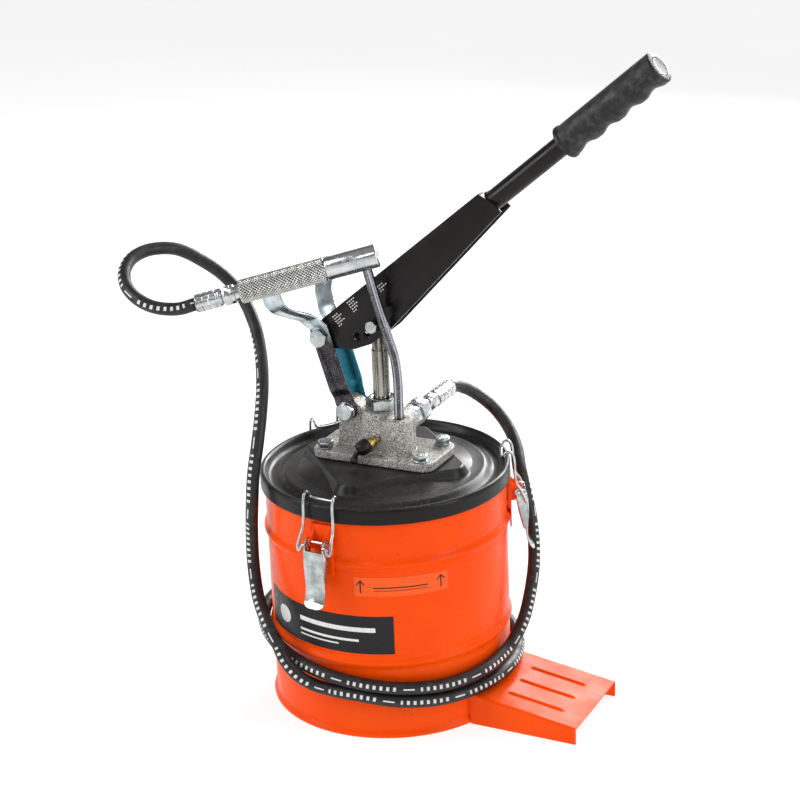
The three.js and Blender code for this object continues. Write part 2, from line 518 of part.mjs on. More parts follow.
// The hose leaves the outlet, drops behind one clip, goes once and a half round the bucket, crosses
// over its own first turn at the left and climbs past the lid, looping back to the parked handle.
const HOSE_DROP = [
  [22, OUT.tail + GAP, 274], [22, 103.5, 273.8], [25, 117, 269.3], [32, 131, 259.8], [43, 140.5, 247.3],
  [55.5, 142.5, 234.5], [69, 136.5, 221.5], [82, 122.5, 210.3], [93, 104.5, 198.5], [102, 94.5, 182],
  [109, 89.5, 161], [114.5, 83.5, 140], [119.5, 73, 119], [124, 54, 98], [126.5, 28, 75],
];
const HOSE_RETURN = [
  [-20, -126.5, 53.5], [-32.5, -130, 61.5], [-44.5, -130, 73.5], [-56, -124.5, 88], [-70, -116.5, 101.5],
  [-86.5, -102.5, 120], [-97, -90, 146], [-98, -87.5, 176], [-92, -93.5, 208], [-90.5, -90, 237.5],
  [-89.5, -81, 264.5], [-92, -67.5, 289], [-98, -51, 312], [-108.5, -33, 334.5], [-122.5, -17.5, 357.5],
  [-140.5, -7, 380], [-158.5, -5.5, 397.5], [-175, -13, 412.5], [-194.5, -28, 427.5], [-210, -48.5, 432],
  [-216.5, -71, 429.5], [-213.5, -90.5, 422.5], [-203.5, -104.5, 413.5], [-188, -112, 405], [-169.5, -112, 398.5],
];

// Height of the wrapped turns: level at these azimuths, and eased between them.
const WRAP_LEVELS = [[0, 57.5], [-30, 51.5], [-160, 78], [-345, 38], [-400, 38], [-452, 49]];
const WRAP_R = 122.2;
const WRAP_STEP = 20;

function wrapHeight(azimuth) {
  const k = WRAP_LEVELS.findIndex(([a], i) => i > 0 && azimuth >= a);
  const [[a0, z0], [a1, z1]] = [WRAP_LEVELS[k - 1], WRAP_LEVELS[k]];
  return z0 + ((z1 - z0) * (1 - Math.cos((Math.PI * (azimuth - a0)) / (a1 - a0)))) / 2;
}

function hoseRoute() {
  const route = HOSE_DROP.map((p) => v3(...p));
  for (let azimuth = 0; azimuth >= -440; azimuth -= WRAP_STEP) {
    const z = wrapHeight(azimuth);
    const r = WRAP_R + (Math.abs(z - BEAD_Z[0]) < 10 ? 0.8 : 0);
    route.push(v3(r * Math.cos(azimuth * DEG), r * Math.sin(azimuth * DEG), z));
  }
  const tail = GUN_TAIL.clone().sub(GUN_END).normalize();
  const end = [18, GAP].map((distance) => GUN_TAIL.clone().addScaledVector(tail, distance));
  return [...route, v3(-6, -123.3, 49.4), ...HOSE_RETURN.map((p) => v3(...p)), ...end];
}

const HOSE_ROUTE = hoseRoute();
add('grease_hose', sweep(HOSE_ROUTE, HOSE_R, 80, 8, 0.5), RUBBER);

// Rubber dust cap, with a short pull tab that hangs from its nose.
const capAxis = NIPPLE.to.clone().sub(NIPPLE.from).normalize();
const capNose = NIPPLE.from.clone().addScaledVector(capAxis, 16.5);
const tab = sweep([capNose, capNose.clone().add(v3(-3, -1.6, -4.6)), capNose.clone().add(v3(-5, -2.2, -10))], 2.6, 6, 10);
const bulb = closed(new THREE.SphereGeometry(3.9, 12, 8).translate(capNose.x - 5.1, capNose.y - 2.2, capNose.z - 10.6));
add('dust_cap', union(capBody, tab, bulb), RUBBER);

export default root;
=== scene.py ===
import json
import math
from contextlib import contextmanager

import bmesh
import bpy
from mathutils import Matrix, Vector, noise


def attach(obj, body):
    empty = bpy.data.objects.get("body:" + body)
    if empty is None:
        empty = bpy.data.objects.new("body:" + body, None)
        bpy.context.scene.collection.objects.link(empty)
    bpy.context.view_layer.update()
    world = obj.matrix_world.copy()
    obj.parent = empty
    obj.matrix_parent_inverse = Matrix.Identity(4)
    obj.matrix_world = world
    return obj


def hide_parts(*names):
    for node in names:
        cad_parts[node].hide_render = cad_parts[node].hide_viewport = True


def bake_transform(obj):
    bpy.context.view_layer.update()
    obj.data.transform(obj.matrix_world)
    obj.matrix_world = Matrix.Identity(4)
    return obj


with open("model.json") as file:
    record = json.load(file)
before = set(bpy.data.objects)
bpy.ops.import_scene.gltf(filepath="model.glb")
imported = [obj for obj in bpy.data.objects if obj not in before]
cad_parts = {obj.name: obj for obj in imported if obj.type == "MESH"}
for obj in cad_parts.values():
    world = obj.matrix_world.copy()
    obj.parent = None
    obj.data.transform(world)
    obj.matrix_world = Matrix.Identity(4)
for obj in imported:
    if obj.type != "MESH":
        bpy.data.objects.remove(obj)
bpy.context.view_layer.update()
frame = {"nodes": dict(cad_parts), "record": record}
NODES = frame["nodes"]
MM = 0.001
DEG = math.pi / 180
WELD = 1e-6     # metres: nearer points than this are one point


# ---- camera

EYE = Vector((0.8453, -1.6016, 0.9521))
AIM = Vector((0.0148, 0.0076, 0.2914))
ROLL = -2.386 * DEG


def look_from(eye, aim, roll):
    forward = (aim - eye).normalized()
    right = forward.cross(Vector((0, 0, 1))).normalized()
    up = right.cross(forward)
    r = right * math.cos(roll) + up * math.sin(roll)
    u = up * math.cos(roll) - right * math.sin(roll)
    m = Matrix.Identity(4)
    for i, axis in enumerate((r, u, -forward)):
        for k in range(3):
            m[k][i] = axis[k]
    m.translation = eye
    return m


cam_data = bpy.data.cameras.new("camera")
cam_data.lens = 93.0
cam_data.sensor_width = 36.0
cam_data.clip_start = 0.05
cam_data.clip_end = 60
camera = bpy.data.objects.new("camera", cam_data)
bpy.context.scene.collection.objects.link(camera)
camera.matrix_world = look_from(EYE, AIM, ROLL)
bpy.context.scene.camera = camera
bpy.context.scene.view_settings.view_transform = "Standard"


# ---- mesh helpers: they take millimetres

def new_object(name, verts, faces, uvs=None, smooth=True):
    mesh = bpy.data.meshes.new(name)
    mesh.from_pydata([tuple(c * MM for c in v) for v in verts], [], faces)
    if uvs is not None:
        layer = mesh.uv_layers.new(name="UVMap")
        for poly in mesh.polygons:
            for li in poly.loop_indices:
                layer.data[li].uv = uvs[mesh.loops[li].vertex_index]
    mesh.update()
    obj = bpy.data.objects.new(name, mesh)
    bpy.context.scene.collection.objects.link(obj)
    if smooth:
        mesh.polygons.foreach_set("use_smooth", [True] * len(mesh.polygons))
    return obj


@contextmanager
def editing(obj):
    """Open an object's mesh for editing, and write it back at the end."""
    bm = bmesh.new()
    bm.from_mesh(obj.data)
    yield bm
    bm.to_mesh(obj.data)
    bm.free()


def outward(obj):
    with editing(obj) as bm:
        bmesh.ops.recalc_face_normals(bm, faces=bm.faces)
    return obj


def apply_modifiers(obj):
    depsgraph = bpy.context.evaluated_depsgraph_get()
    mesh = bpy.data.meshes.new_from_object(obj.evaluated_get(depsgraph))
    old = obj.data
    obj.modifiers.clear()
    obj.data = mesh
    mesh.name = obj.name
    bpy.data.meshes.remove(old)
    return obj


def shade_by_angle(obj, degrees=35):
    mesh = obj.data
    mesh.polygons.foreach_set("use_smooth", [True] * len(mesh.polygons))
    mesh.set_sharp_from_angle(angle=degrees * DEG)
    return obj


def bevel(obj, width, segments=2, angle=32):
    m = obj.modifiers.new("bevel", "BEVEL")
    m.width = width * MM
    m.segments = segments
    m.limit_method = "ANGLE"
    m.angle_limit = angle * DEG
    m.harden_normals = False
    apply_modifiers(obj)
    return shade_by_angle(obj, 40)


def cut_away(obj, cutter):
    m = obj.modifiers.new("cut", "BOOLEAN")
    m.operation = "DIFFERENCE"
    m.object = cutter
    m.solver = "EXACT"
    apply_modifiers(obj)
    bpy.data.objects.remove(cutter)
    return obj


def skin(columns, rows, loop_rows=False):
    """Quads between neighbouring columns of points, round and back to the first one."""
    faces = []
    for i in range(columns):
        j = (i + 1) % columns
        for k in range(rows if loop_rows else rows - 1):
            m = (k + 1) % rows
            faces.append((i * rows + k, j * rows + k, j * rows + m, i * rows + m))
    return faces


def cylinder(name, radius, z0, z1, sides, place):
    return lathe(name, [(0, z0), (radius, z0), (radius, z1), (0, z1)], sides, place=place)


def lathe(name, profile, segments=96, place=None, wobble=None):
    """Surface of revolution round Z from a (radius, z) profile; place then moves it."""
    verts, uvs = [], []
    for i in range(segments):
        a = 2 * math.pi * i / segments
        for r, z in profile:
            q = r if wobble is None else r + wobble(a, r, z)
            verts.append((q * math.cos(a), q * math.sin(a), z))
            uvs.append((i / segments, z * MM))
    if place is not None:
        verts = [tuple(place @ Vector(v)) for v in verts]
    obj = new_object(name, verts, skin(segments, len(profile)), uvs)
    with editing(obj) as bm:
        bmesh.ops.remove_doubles(bm, verts=bm.verts, dist=WELD)
        bmesh.ops.recalc_face_normals(bm, faces=bm.faces)
    return shade_by_angle(obj, 35)


def along(start, end):
    """Matrix that takes local +Z from start towards end, in millimetres."""
    start, end = Vector(start), Vector(end)
    q = Vector((0, 0, 1)).rotation_difference((end - start).normalized())
    return Matrix.Translation(start) @ q.to_matrix().to_4x4()


def prism(name, outline, y0, y1):
    """The (x, z) outline as a solid from y0 to y1."""
    n = len(outline)
    verts = [(x, y, z) for y in (y0, y1) for x, z in outline]
    faces = [tuple(range(n)), tuple(range(2 * n - 1, n - 1, -1))]
    faces += [(i, (i + 1) % n, n + (i + 1) % n, n + i) for i in range(n)]
    return outward(new_object(name, verts, faces, smooth=False))


def arc(cx, cy, r, a0, a1, steps):
    angles = [(a0 + (a1 - a0) * i / steps) * DEG for i in range(steps + 1)]
    return [(cx + r * math.cos(a), cy + r * math.sin(a)) for a in angles]


def catmull(points, per_span=12, tension=0.5):
    """The uniform Catmull-Rom curve through the points, or a tighter or looser one."""
    p = [Vector(q) for q in points]
    p = [2 * p[0] - p[1]] + p + [2 * p[-1] - p[-2]]
    out = []
    for i in range(1, len(p) - 2):
        p0, p1, p2, p3 = p[i - 1:i + 3]
        m1, m2 = (p2 - p0) * tension, (p3 - p1) * tension
        for k in range(per_span):
            t = k / per_span
            out.append((2 * t**3 - 3 * t**2 + 1) * p1 + (t**3 - 2 * t**2 + t) * m1
                       + (3 * t**2 - 2 * t**3) * p2 + (t**3 - t**2) * m2)
    out.append(p[-2])
    return out


def resample(points, step):
    lengths = [0.0]
    for a, b in zip(points, points[1:]):
        lengths.append(lengths[-1] + (b - a).length)
    count = max(2, round(lengths[-1] / step))
    out, k = [], 0
    for i in range(count + 1):
        s = lengths[-1] * i / count
        while k < len(points) - 2 and lengths[k + 1] < s:
            k += 1
        span = lengths[k + 1] - lengths[k]
        t = 0 if span == 0 else (s - lengths[k]) / span
        out.append(points[k].lerp(points[k + 1], min(1, max(0, t))))
    return out


def tube(name, points, radius, sides=16, step=3.0, facing=None):
    """Round tube along a curve. Its UV is (metres along, turn round from the facing side)."""
    path = resample(points, step)
    n = len(path)
    tangents = [(path[min(i + 1, n - 1)] - path[max(i - 1, 0)]).normalized() for i in range(n)]
    normals = []
    if facing is None:
        normal = tangents[0].orthogonal().normalized()
        for t in tangents:
            normal = (normal - t * normal.dot(t)).normalized()
            normals.append(normal)
    else:
        wanted = [facing(p) for p in path]
        soft = []
        for i in range(n):
            near = wanted[max(0, i - 12):i + 13]
            soft.append(sum(near, Vector()) / len(near))
        normals = [(w - t * w.dot(t)).normalized() for w, t in zip(soft, tangents)]
    verts, faces, uvs, metres = [], [], [], 0.0
    for i in range(n):
        if i:
            metres += (path[i] - path[i - 1]).length * MM
        binormal = tangents[i].cross(normals[i])
        for k in range(sides):
            a = 2 * math.pi * k / sides
            verts.append(tuple(path[i] + (normals[i] * math.cos(a) + binormal * math.sin(a)) * radius))
            uvs.append((metres, k / sides))
    for i in range(n - 1):
        for k in range(sides):
            a, b = i * sides + k, i * sides + (k + 1) % sides
            faces.append((a, b, b + sides, a + sides))
    faces.append(tuple(range(sides - 1, -1, -1)))
    faces.append(tuple(range((n - 1) * sides, n * sides)))
    obj = new_object(name, verts, faces, uvs)
    for poly in obj.data.polygons:       # the turn round the seam runs on to 1, not back to 0
        us = [obj.data.uv_layers[0].data[li] for li in poly.loop_indices]
        if max(u.uv[1] for u in us) > 0.8:
            for u in us:
                if u.uv[1] < 0.2:
                    u.uv[1] += 1
    return outward(obj)


def strip(name, path, across, width, thickness, ends=(0, 0), step=1.6):
    """Flat bar along a path with rounded edges; ends are the radii of its two rounded ends."""
    pts = resample(path, step)
    n = len(pts)
    side = Vector(across).normalized()
    total = sum((b - a).length for a, b in zip(pts, pts[1:]))
    verts, faces = [], []
    run = 0.0
    e = min(0.8, thickness * 0.25)
    for i, p in enumerate(pts):
        if i:
            run += (p - pts[i - 1]).length
        tangent = (pts[min(i + 1, n - 1)] - pts[max(i - 1, 0)]).normalized()
        normal = side.cross(tangent).normalized() * (thickness / 2)
        w = width / 2
        for radius, d in ((ends[0], run), (ends[1], total - run)):
            if radius and d < radius:
                w = min(w, (width / 2 - radius) + math.sqrt(max(0.02, radius**2 - (radius - d) ** 2)))
        inset = normal * (1 - 2 * e / thickness)
        s = side * w
        t = side * max(0.01, w - e)
        verts += [tuple(v) for v in (p + t + normal, p - t + normal, p - s + inset, p - s - inset,
                                     p - t - normal, p + t - normal, p + s - inset, p + s + inset)]
    for i in range(n - 1):
        for k in range(8):
            a, b = 8 * i + k, 8 * i + (k + 1) % 8
            faces.append((a, b, b + 8, a + 8))
    faces += [tuple(range(7, -1, -1)), tuple(range(8 * n - 8, 8 * n))]
    return shade_by_angle(outward(new_object(name, verts, faces)), 50)


def polished(node, width=0.35, segments=2):
    """A copy of a CAD node with its sharp edges eased."""
    obj = bpy.data.objects.new(node + "_fine", NODES[node].data.copy())
    bpy.context.scene.collection.objects.link(obj)
    obj.data.materials.clear()
    with editing(obj) as bm:
        bmesh.ops.remove_doubles(bm, verts=bm.verts, dist=2 * WELD)
        bmesh.ops.dissolve_limit(bm, angle_limit=1.5 * DEG, verts=bm.verts, edges=bm.edges)
    return bevel(obj, width, segments)


def dress(obj, body, material, slot, *nodes):
    obj.data.materials.clear()
    obj.data.materials.append(material)
    if nodes:
        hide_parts(*nodes)
    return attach(obj, body)


# ---- the hose, before anything else

OUTLET_X, OUTLET_Z, OUTLET_END = 22.0, 274.0, 98.0
LOW_BEAD, HIGH_BEAD = 76, 175
SEAM_AT, SEAM_HEIGHT = 1.9, 0.55        # the bucket's welded seam: radians round, and height
HOSE_R = 6.0
GUN_END = Vector((14.9, -23.7, 440.5))
GUN_TAIL = Vector((-134.4, -97.0, 400.8))
GUN_DIR = (GUN_TAIL - GUN_END).normalized()
# The free stretches' points came from a scratch solver that eased their bends. They were thinned,
# rounded and partly moved. part.mjs holds the same points.
HOSE_DROP = [
    (22, 98.3, 274), (22, 103.5, 273.8), (25, 117, 269.3), (32, 131, 259.8), (43, 140.5, 247.3),
    (55.5, 142.5, 234.5), (69, 136.5, 221.5), (82, 122.5, 210.3), (93, 104.5, 198.5), (102, 94.5, 182),
    (109, 89.5, 161), (114.5, 83.5, 140), (119.5, 73, 119), (124, 54, 98), (126.5, 28, 75),
]
HOSE_RETURN = [
    (-6, -123.3, 49.4), (-20, -126.5, 53.5), (-32.5, -130, 61.5), (-44.5, -130, 73.5), (-56, -124.5, 88),
    (-70, -116.5, 101.5), (-86.5, -102.5, 120), (-97, -90, 146), (-98, -87.5, 176), (-92, -93.5, 208),
    (-90.5, -90, 237.5), (-89.5, -81, 264.5), (-92, -67.5, 289), (-98, -51, 312), (-108.5, -33, 334.5),
    (-122.5, -17.5, 357.5), (-140.5, -7, 380), (-158.5, -5.5, 397.5), (-175, -13, 412.5),
    (-194.5, -28, 427.5), (-210, -48.5, 432), (-216.5, -71, 429.5), (-213.5, -90.5, 422.5),
    (-203.5, -104.5, 413.5), (-188, -112, 405), (-169.5, -112, 398.5),
]
WRAP_R = 122.2
# Heights of the turns round the bucket at these azimuths, eased between them.
WRAP_LEVELS = [(0, 57.5), (-30, 51.5), (-160, 78), (-345, 38), (-400, 38), (-452, 49)]


def wrap_height(azimuth):
    for (a0, z0), (a1, z1) in zip(WRAP_LEVELS, WRAP_LEVELS[1:]):
        if azimuth >= a1:
            return z0 + (z1 - z0) * (1 - math.cos(math.pi * (azimuth - a0) / (a1 - a0))) / 2


def hose_route():
    route = [Vector(p) for p in HOSE_DROP]
    for azimuth in range(0, -441, -20):
        z = wrap_height(azimuth)
        r = WRAP_R + (0.8 if abs(z - LOW_BEAD) < 10 else 0)
        route.append(Vector((r * math.cos(azimuth * DEG), r * math.sin(azimuth * DEG), z)))
    return route + [Vector(p) for p in HOSE_RETURN] + [GUN_TAIL + GUN_DIR * 18, GUN_TAIL + GUN_DIR * 0.3]


def hose_facing(p):
    radial = Vector((p.x, p.y, 0)).normalized()
    front = Vector((0.42, -0.8, 0.43))
    return (radial * 0.5 + front * 0.6).normalized() if radial.dot(front) > -0.25 else radial


hose_line = catmull(hose_route())
hose = tube("grease_hose_fine", hose_line, HOSE_R, sides=20, step=3.0, facing=hose_facing)

# ---- materials

class Paint:
    """A small builder for one node material on a Principled shader."""

    def __init__(self, name, color, roughness, metallic=0.0, coat=0.0, specular=0.5):
        self.mat = bpy.data.materials.new(name)
        self.mat.use_nodes = True
        self.tree = self.mat.node_tree
        self.bsdf = self.tree.nodes["Principled BSDF"]
        self.bsdf.inputs["Base Color"].default_value = (*color, 1)
        self.bsdf.inputs["Roughness"].default_value = roughness
        self.bsdf.inputs["Metallic"].default_value = metallic
        self.bsdf.inputs["Specular IOR Level"].default_value = specular
        if coat:
            self.bsdf.inputs["Coat Weight"].default_value = coat
            self.bsdf.inputs["Coat Roughness"].default_value = 0.12
        self.coords = self.tree.nodes.new("ShaderNodeTexCoord")
        self.normal = None

    def node(self, kind, **values):
        n = self.tree.nodes.new("ShaderNode" + kind)
        for key, value in values.items():
            setattr(n, key, value)
        return n

    def link(self, a, b):
        self.tree.links.new(a, b)

    def at(self, stretch=None, uv=False):
        out = self.coords.outputs["UV" if uv else "Object"]
        if stretch is None:
            return out
        m = self.node("Mapping")
        m.inputs["Scale"].default_value = stretch
        self.link(out, m.inputs["Vector"])
        return m.outputs["Vector"]

    def noise(self, scale, detail=4.0, rough=0.55, stretch=None, uv=False):
        n = self.node("TexNoise")
        n.inputs["Scale"].default_value = scale
        n.inputs["Detail"].default_value = detail
        n.inputs["Roughness"].default_value = rough
        self.link(self.at(stretch, uv), n.inputs["Vector"])
        return n.outputs["Fac"]

    def grains(self, scale, stretch=None):
        n = self.node("TexVoronoi")
        n.inputs["Scale"].default_value = scale
        self.link(self.at(stretch), n.inputs["Vector"])
        return n.outputs["Distance"]

    def ramp(self, source, low, high, a=0.0, b=1.0):
        n = self.node("MapRange", interpolation_type="SMOOTHSTEP")
        for key, value in (("From Min", low), ("From Max", high), ("To Min", a), ("To Max", b)):
            n.inputs[key].default_value = value
        self.link(source, n.inputs["Value"])
        return n.outputs["Result"]

    def math(self, operation, a, b=None):
        n = self.node("Math", operation=operation)
        for socket, value in zip(n.inputs, (a, b)):
            if value is None:
                continue
            if isinstance(value, (int, float)):
                socket.default_value = value
            else:
                self.link(value, socket)
        return n.outputs[0]

    def mix(self, fac, a, b):
        n = self.node("Mix", data_type="RGBA")
        self.link(fac, n.inputs[0])
        for socket, value in ((n.inputs[6], a), (n.inputs[7], b)):
            if isinstance(value, tuple):
                socket.default_value = (*value, 1)
            else:
                self.link(value, socket)
        return n.outputs[2]

    def color(self, output):
        self.link(output, self.bsdf.inputs["Base Color"])
        return self

    def roughness(self, output):
        self.link(output, self.bsdf.inputs["Roughness"])
        return self

    def bump(self, height, strength, millimetres):
        n = self.node("Bump")
        n.inputs["Strength"].default_value = strength
        n.inputs["Distance"].default_value = millimetres * MM
        self.link(height, n.inputs["Height"])
        if self.normal is not None:
            self.link(self.normal, n.inputs["Normal"])
        self.normal = n.outputs["Normal"]
        self.link(self.normal, self.bsdf.inputs["Normal"])
        return self


def orange_paint():
    p = Paint("orange_paint", (0.94, 0.076, 0.0008), 0.32, specular=0.11)
    cloud = p.ramp(p.noise(9, 3), 0.35, 0.7)
    base = p.mix(cloud, (0.92, 0.069, 0.0006), (0.96, 0.084, 0.0010))
    specks = p.ramp(p.noise(520, 2, 0.4), 0.735, 0.775)
    scuffs = p.ramp(p.noise(60, 8, 0.72, stretch=(1, 1, 0.25)), 0.66, 0.8)
    base = p.mix(scuffs, base, (0.97, 0.14, 0.02))
    p.color(p.mix(specks, base, (0.28, 0.03, 0.005)))
    p.roughness(p.ramp(p.noise(40, 5), 0.3, 0.75, 0.24, 0.42))
    p.bump(p.noise(700, 2, 0.5), 0.16, 0.09)
    p.bump(p.noise(26, 3), 0.25, 0.35)
    return p.mat


def lid_paint():
    p = Paint("black_paint", (0.011, 0.011, 0.012), 0.32, specular=0.26)
    # The dust specks are partly real dust and partly painted sheen: a lighter grey standing in for the hazy
    # reflection on the top.
    dust = p.ramp(p.noise(420, 6, 0.65), 0.50, 0.72)
    scratch = p.ramp(p.noise(70, 7, 0.7, stretch=(1, 6, 1)), 0.68, 0.78)
    split = p.node("SeparateXYZ")
    p.link(p.coords.outputs["Normal"], split.inputs[0])
    base = p.mix(p.ramp(p.noise(14, 4), 0.4, 0.7), (0.016, 0.0145, 0.0135), (0.034, 0.031, 0.029))
    base = p.mix(dust, base, (0.075, 0.070, 0.066))
    base = p.mix(scratch, base, (0.10, 0.094, 0.088))
    # Painted shade: faces that turn away from straight up take a near-black colour, and only upward faces get
    # the lighter base.
    p.color(p.mix(p.ramp(split.outputs[2], 0.35, 0.85), (0.0035, 0.0025, 0.002), base))
    p.roughness(p.ramp(p.noise(40, 6, 0.6), 0.3, 0.75, 0.28, 0.46))
    p.bump(p.noise(700, 3, 0.6), 0.25, 0.12)
    p.bump(p.noise(16, 3), 0.3, 0.5)
    return p.mat


def lever_paint():
    p = Paint("black_lever", (0.0075, 0.0072, 0.0075), 0.22, specular=0.22)
    worn = p.ramp(p.noise(120, 8, 0.7, stretch=(1, 1, 2)), 0.68, 0.8)
    base = p.mix(p.ramp(p.noise(18, 3), 0.35, 0.7), (0.0060, 0.0045, 0.0040), (0.0100, 0.0080, 0.0072))
    p.color(p.mix(worn, base, (0.028, 0.026, 0.025)))
    p.roughness(p.ramp(p.noise(60, 5), 0.3, 0.75, 0.16, 0.36))
    p.bump(p.noise(620, 2, 0.5), 0.12, 0.1)
    p.bump(p.noise(30, 3), 0.25, 0.3)
    return p.mat


KNURL_TURNS, KNURL_PITCH = 22, 3.2


def zinc(name, light, dark, warm, grain=1.0, rough=0.2, glint=None, painted_light_above=None, painted_reflection_streaks=None):
    """Plated steel. It may have painted reflection stripes along it, painted glints, and a painted lighter
    tone above a height in metres.
    """
    p = Paint(name, light, rough, metallic=1.0)
    base = p.mix(p.ramp(p.noise(90, 6, 0.65), 0.34, 0.70), light, dark)
    base = p.mix(p.ramp(p.noise(34, 4), 0.52, 0.72, 0.0, 0.6), base, warm)
    # Painted reflection: lighter stripes along the metal, standing in for reflected light.
    if painted_reflection_streaks:
        painted_stripe_mask = p.ramp(p.noise(1.0, 3, 0.6, stretch=painted_reflection_streaks, uv=True), 0.48, 0.58)
        base = p.mix(painted_stripe_mask, base, tuple(min(0.7, c * 4.5) for c in light))
    # Painted light: above the given height the colour turns a pale grey, standing in for light falling on the
    # upper part.
    if painted_light_above:
        split = p.node("SeparateXYZ")
        p.link(p.at(), split.inputs[0])
        painted_light_tone = p.mix(p.ramp(p.noise(60, 4), 0.35, 0.65), (0.66, 0.72, 0.74), (0.34, 0.41, 0.45))
        base = p.mix(p.ramp(split.outputs[2], painted_light_above - 0.006, painted_light_above + 0.010), base, painted_light_tone)
    # Specks are dark pits; where a glint colour is given they are painted glints, points of highlight.
    specks = p.ramp(p.noise(1300, 3, 0.6), 0.60, 0.70)
    p.color(p.mix(specks, base, glint or tuple(c * 0.55 for c in dark)))
    p.roughness(p.ramp(p.noise(420, 6, 0.65), 0.3, 0.72, rough - 0.06, rough + 0.12))
    p.bump(p.noise(1100, 4, 0.6), 0.22 * grain, 0.05)
    return p.mat


def knurled_zinc():
    """Zinc with painted shade in its grooves, at the same turns and pitch as the cut knurl."""
    p = Paint("zinc_knurled", (0.72, 0.73, 0.72), 0.22, metallic=1.0)
    split = p.node("SeparateXYZ")
    p.link(p.at(uv=True), split.inputs[0])
    turn = p.math("MULTIPLY", split.outputs[0], KNURL_TURNS)
    run = p.math("DIVIDE", split.outputs[1], KNURL_PITCH * MM)
    grooves = []
    for way in ("ADD", "SUBTRACT"):
        phase = p.math("FRACT", p.math(way, turn, run))
        grooves.append(p.ramp(p.math("ABSOLUTE", p.math("SUBTRACT", phase, 0.5)), 0.27, 0.42))
    base = p.mix(p.ramp(p.noise(120, 5), 0.34, 0.68), (0.80, 0.81, 0.80), (0.62, 0.62, 0.58))
    # Painted shade: the grooves are coloured dark, where shade falls in them.
    p.color(p.mix(p.math("MAXIMUM", *grooves), base, (0.13, 0.13, 0.115)))
    p.roughness(p.ramp(p.noise(420, 5), 0.3, 0.7, 0.14, 0.32))
    p.bump(p.noise(1100, 4, 0.6), 0.2, 0.05)
    return p.mat


def cast_metal():
    p = Paint("cast_metal", (0.50, 0.48, 0.455), 0.5, metallic=0.3)
    base = p.mix(p.ramp(p.noise(45, 5, 0.6), 0.32, 0.70), (0.42, 0.405, 0.38), (0.28, 0.27, 0.25))
    grain = p.ramp(p.noise(700, 4, 0.7), 0.48, 0.58)
    base = p.mix(grain, base, (0.74, 0.72, 0.68))
    pits = p.ramp(p.noise(840, 3, 0.6), 0.52, 0.60)
    p.color(p.mix(pits, base, (0.07, 0.066, 0.06)))
    p.roughness(p.ramp(p.noise(300, 5), 0.3, 0.7, 0.34, 0.6))
    p.bump(p.noise(820, 4, 0.7), 0.9, 0.5)
    p.bump(p.grains(1000), 0.35, 0.3)
    return p.mat


def plain_steel():
    p = Paint("plain_steel", (0.50, 0.50, 0.51), 0.34, metallic=1.0)
    base = p.mix(p.ramp(p.noise(60, 5), 0.35, 0.7), (0.56, 0.56, 0.57), (0.36, 0.34, 0.31))
    p.color(base)
    p.roughness(p.ramp(p.noise(200, 4, stretch=(1, 1, 8)), 0.3, 0.7, 0.25, 0.45))
    p.bump(p.noise(500, 3, stretch=(1, 1, 9)), 0.15, 0.08)
    return p.mat


def brass():
    p = Paint("brass", (0.72, 0.52, 0.16), 0.25, metallic=1.0)
    p.color(p.mix(p.ramp(p.noise(130, 5), 0.4, 0.7), (0.78, 0.60, 0.20), (0.46, 0.33, 0.10)))
    p.roughness(p.ramp(p.noise(250, 4), 0.3, 0.7, 0.18, 0.4))
    p.bump(p.noise(700, 3), 0.12, 0.1)
    return p.mat


def rubber(name, base, dusty, rough, grain=500, depth=0.2):
    p = Paint(name, base, rough, specular=0.35)
    dust = p.ramp(p.noise(130, 6, 0.65), 0.42, 0.74)
    p.color(p.mix(dust, base, dusty))
    p.roughness(p.ramp(p.noise(90, 5), 0.3, 0.7, rough - 0.10, rough + 0.14))
    p.bump(p.noise(grain, 4, 0.65), 0.4, depth)
    return p.mat


def hose_rubber():
    """Black hose cover with a fine wrapped texture and a broken white line: dashes and ticks, no letters."""
    p = Paint("hose_rubber", (0.014, 0.014, 0.015), 0.48, specular=0.4)
    split = p.node("SeparateXYZ")
    p.link(p.at(uv=True), split.inputs[0])
    along_m, turn = split.outputs[0], split.outputs[1]

    def dashes(period, start, width):
        phase = p.math("FRACT", p.math("DIVIDE", p.math("SUBTRACT", along_m, start), period))
        return p.math("LESS_THAN", phase, width / period)

    def track(centre, half):
        side = p.math("SUBTRACT", p.math("FRACT", p.math("ADD", turn, 0.5)), 0.5 + centre)
        return p.math("LESS_THAN", p.math("ABSOLUTE", side), half)

    row = p.math("MULTIPLY", dashes(0.066, 0.0, 0.044), dashes(0.0060, 0.0, 0.0026))
    upright = p.math("MULTIPLY", row, track(0.0, 0.050))
    long_dash = p.math("MULTIPLY", dashes(0.066, 0.0495, 0.010), track(0.0, 0.018))
    printed = p.math("MAXIMUM", upright, long_dash)
    worn = p.ramp(p.noise(900, 4, 0.7), 0.30, 0.46)
    printed = p.math("MULTIPLY", printed, worn)
    dust = p.ramp(p.noise(150, 6, 0.65), 0.42, 0.74)
    base = p.mix(dust, (0.012, 0.012, 0.013), (0.034, 0.033, 0.033))
    p.color(p.mix(printed, base, (0.74, 0.74, 0.72)))
    p.roughness(p.ramp(p.noise(110, 5), 0.3, 0.7, 0.36, 0.6))
    p.bump(p.noise(1.0, 3, 0.6, stretch=(900, 26, 1), uv=True), 0.3, 0.12)
    p.bump(p.noise(420, 4), 0.3, 0.14)
    return p.mat


def flat_print(name, color, rough=0.4, fleck=0.72):
    p = Paint(name, color, rough, specular=0.22)
    p.color(p.mix(p.ramp(p.noise(500, 5, 0.7), 0.45, 0.75), color, tuple(c * fleck for c in color)))
    p.roughness(p.ramp(p.noise(200, 4), 0.3, 0.7, rough - 0.08, rough + 0.1))
    p.bump(p.noise(900, 2), 0.08, 0.05)
    return p.mat


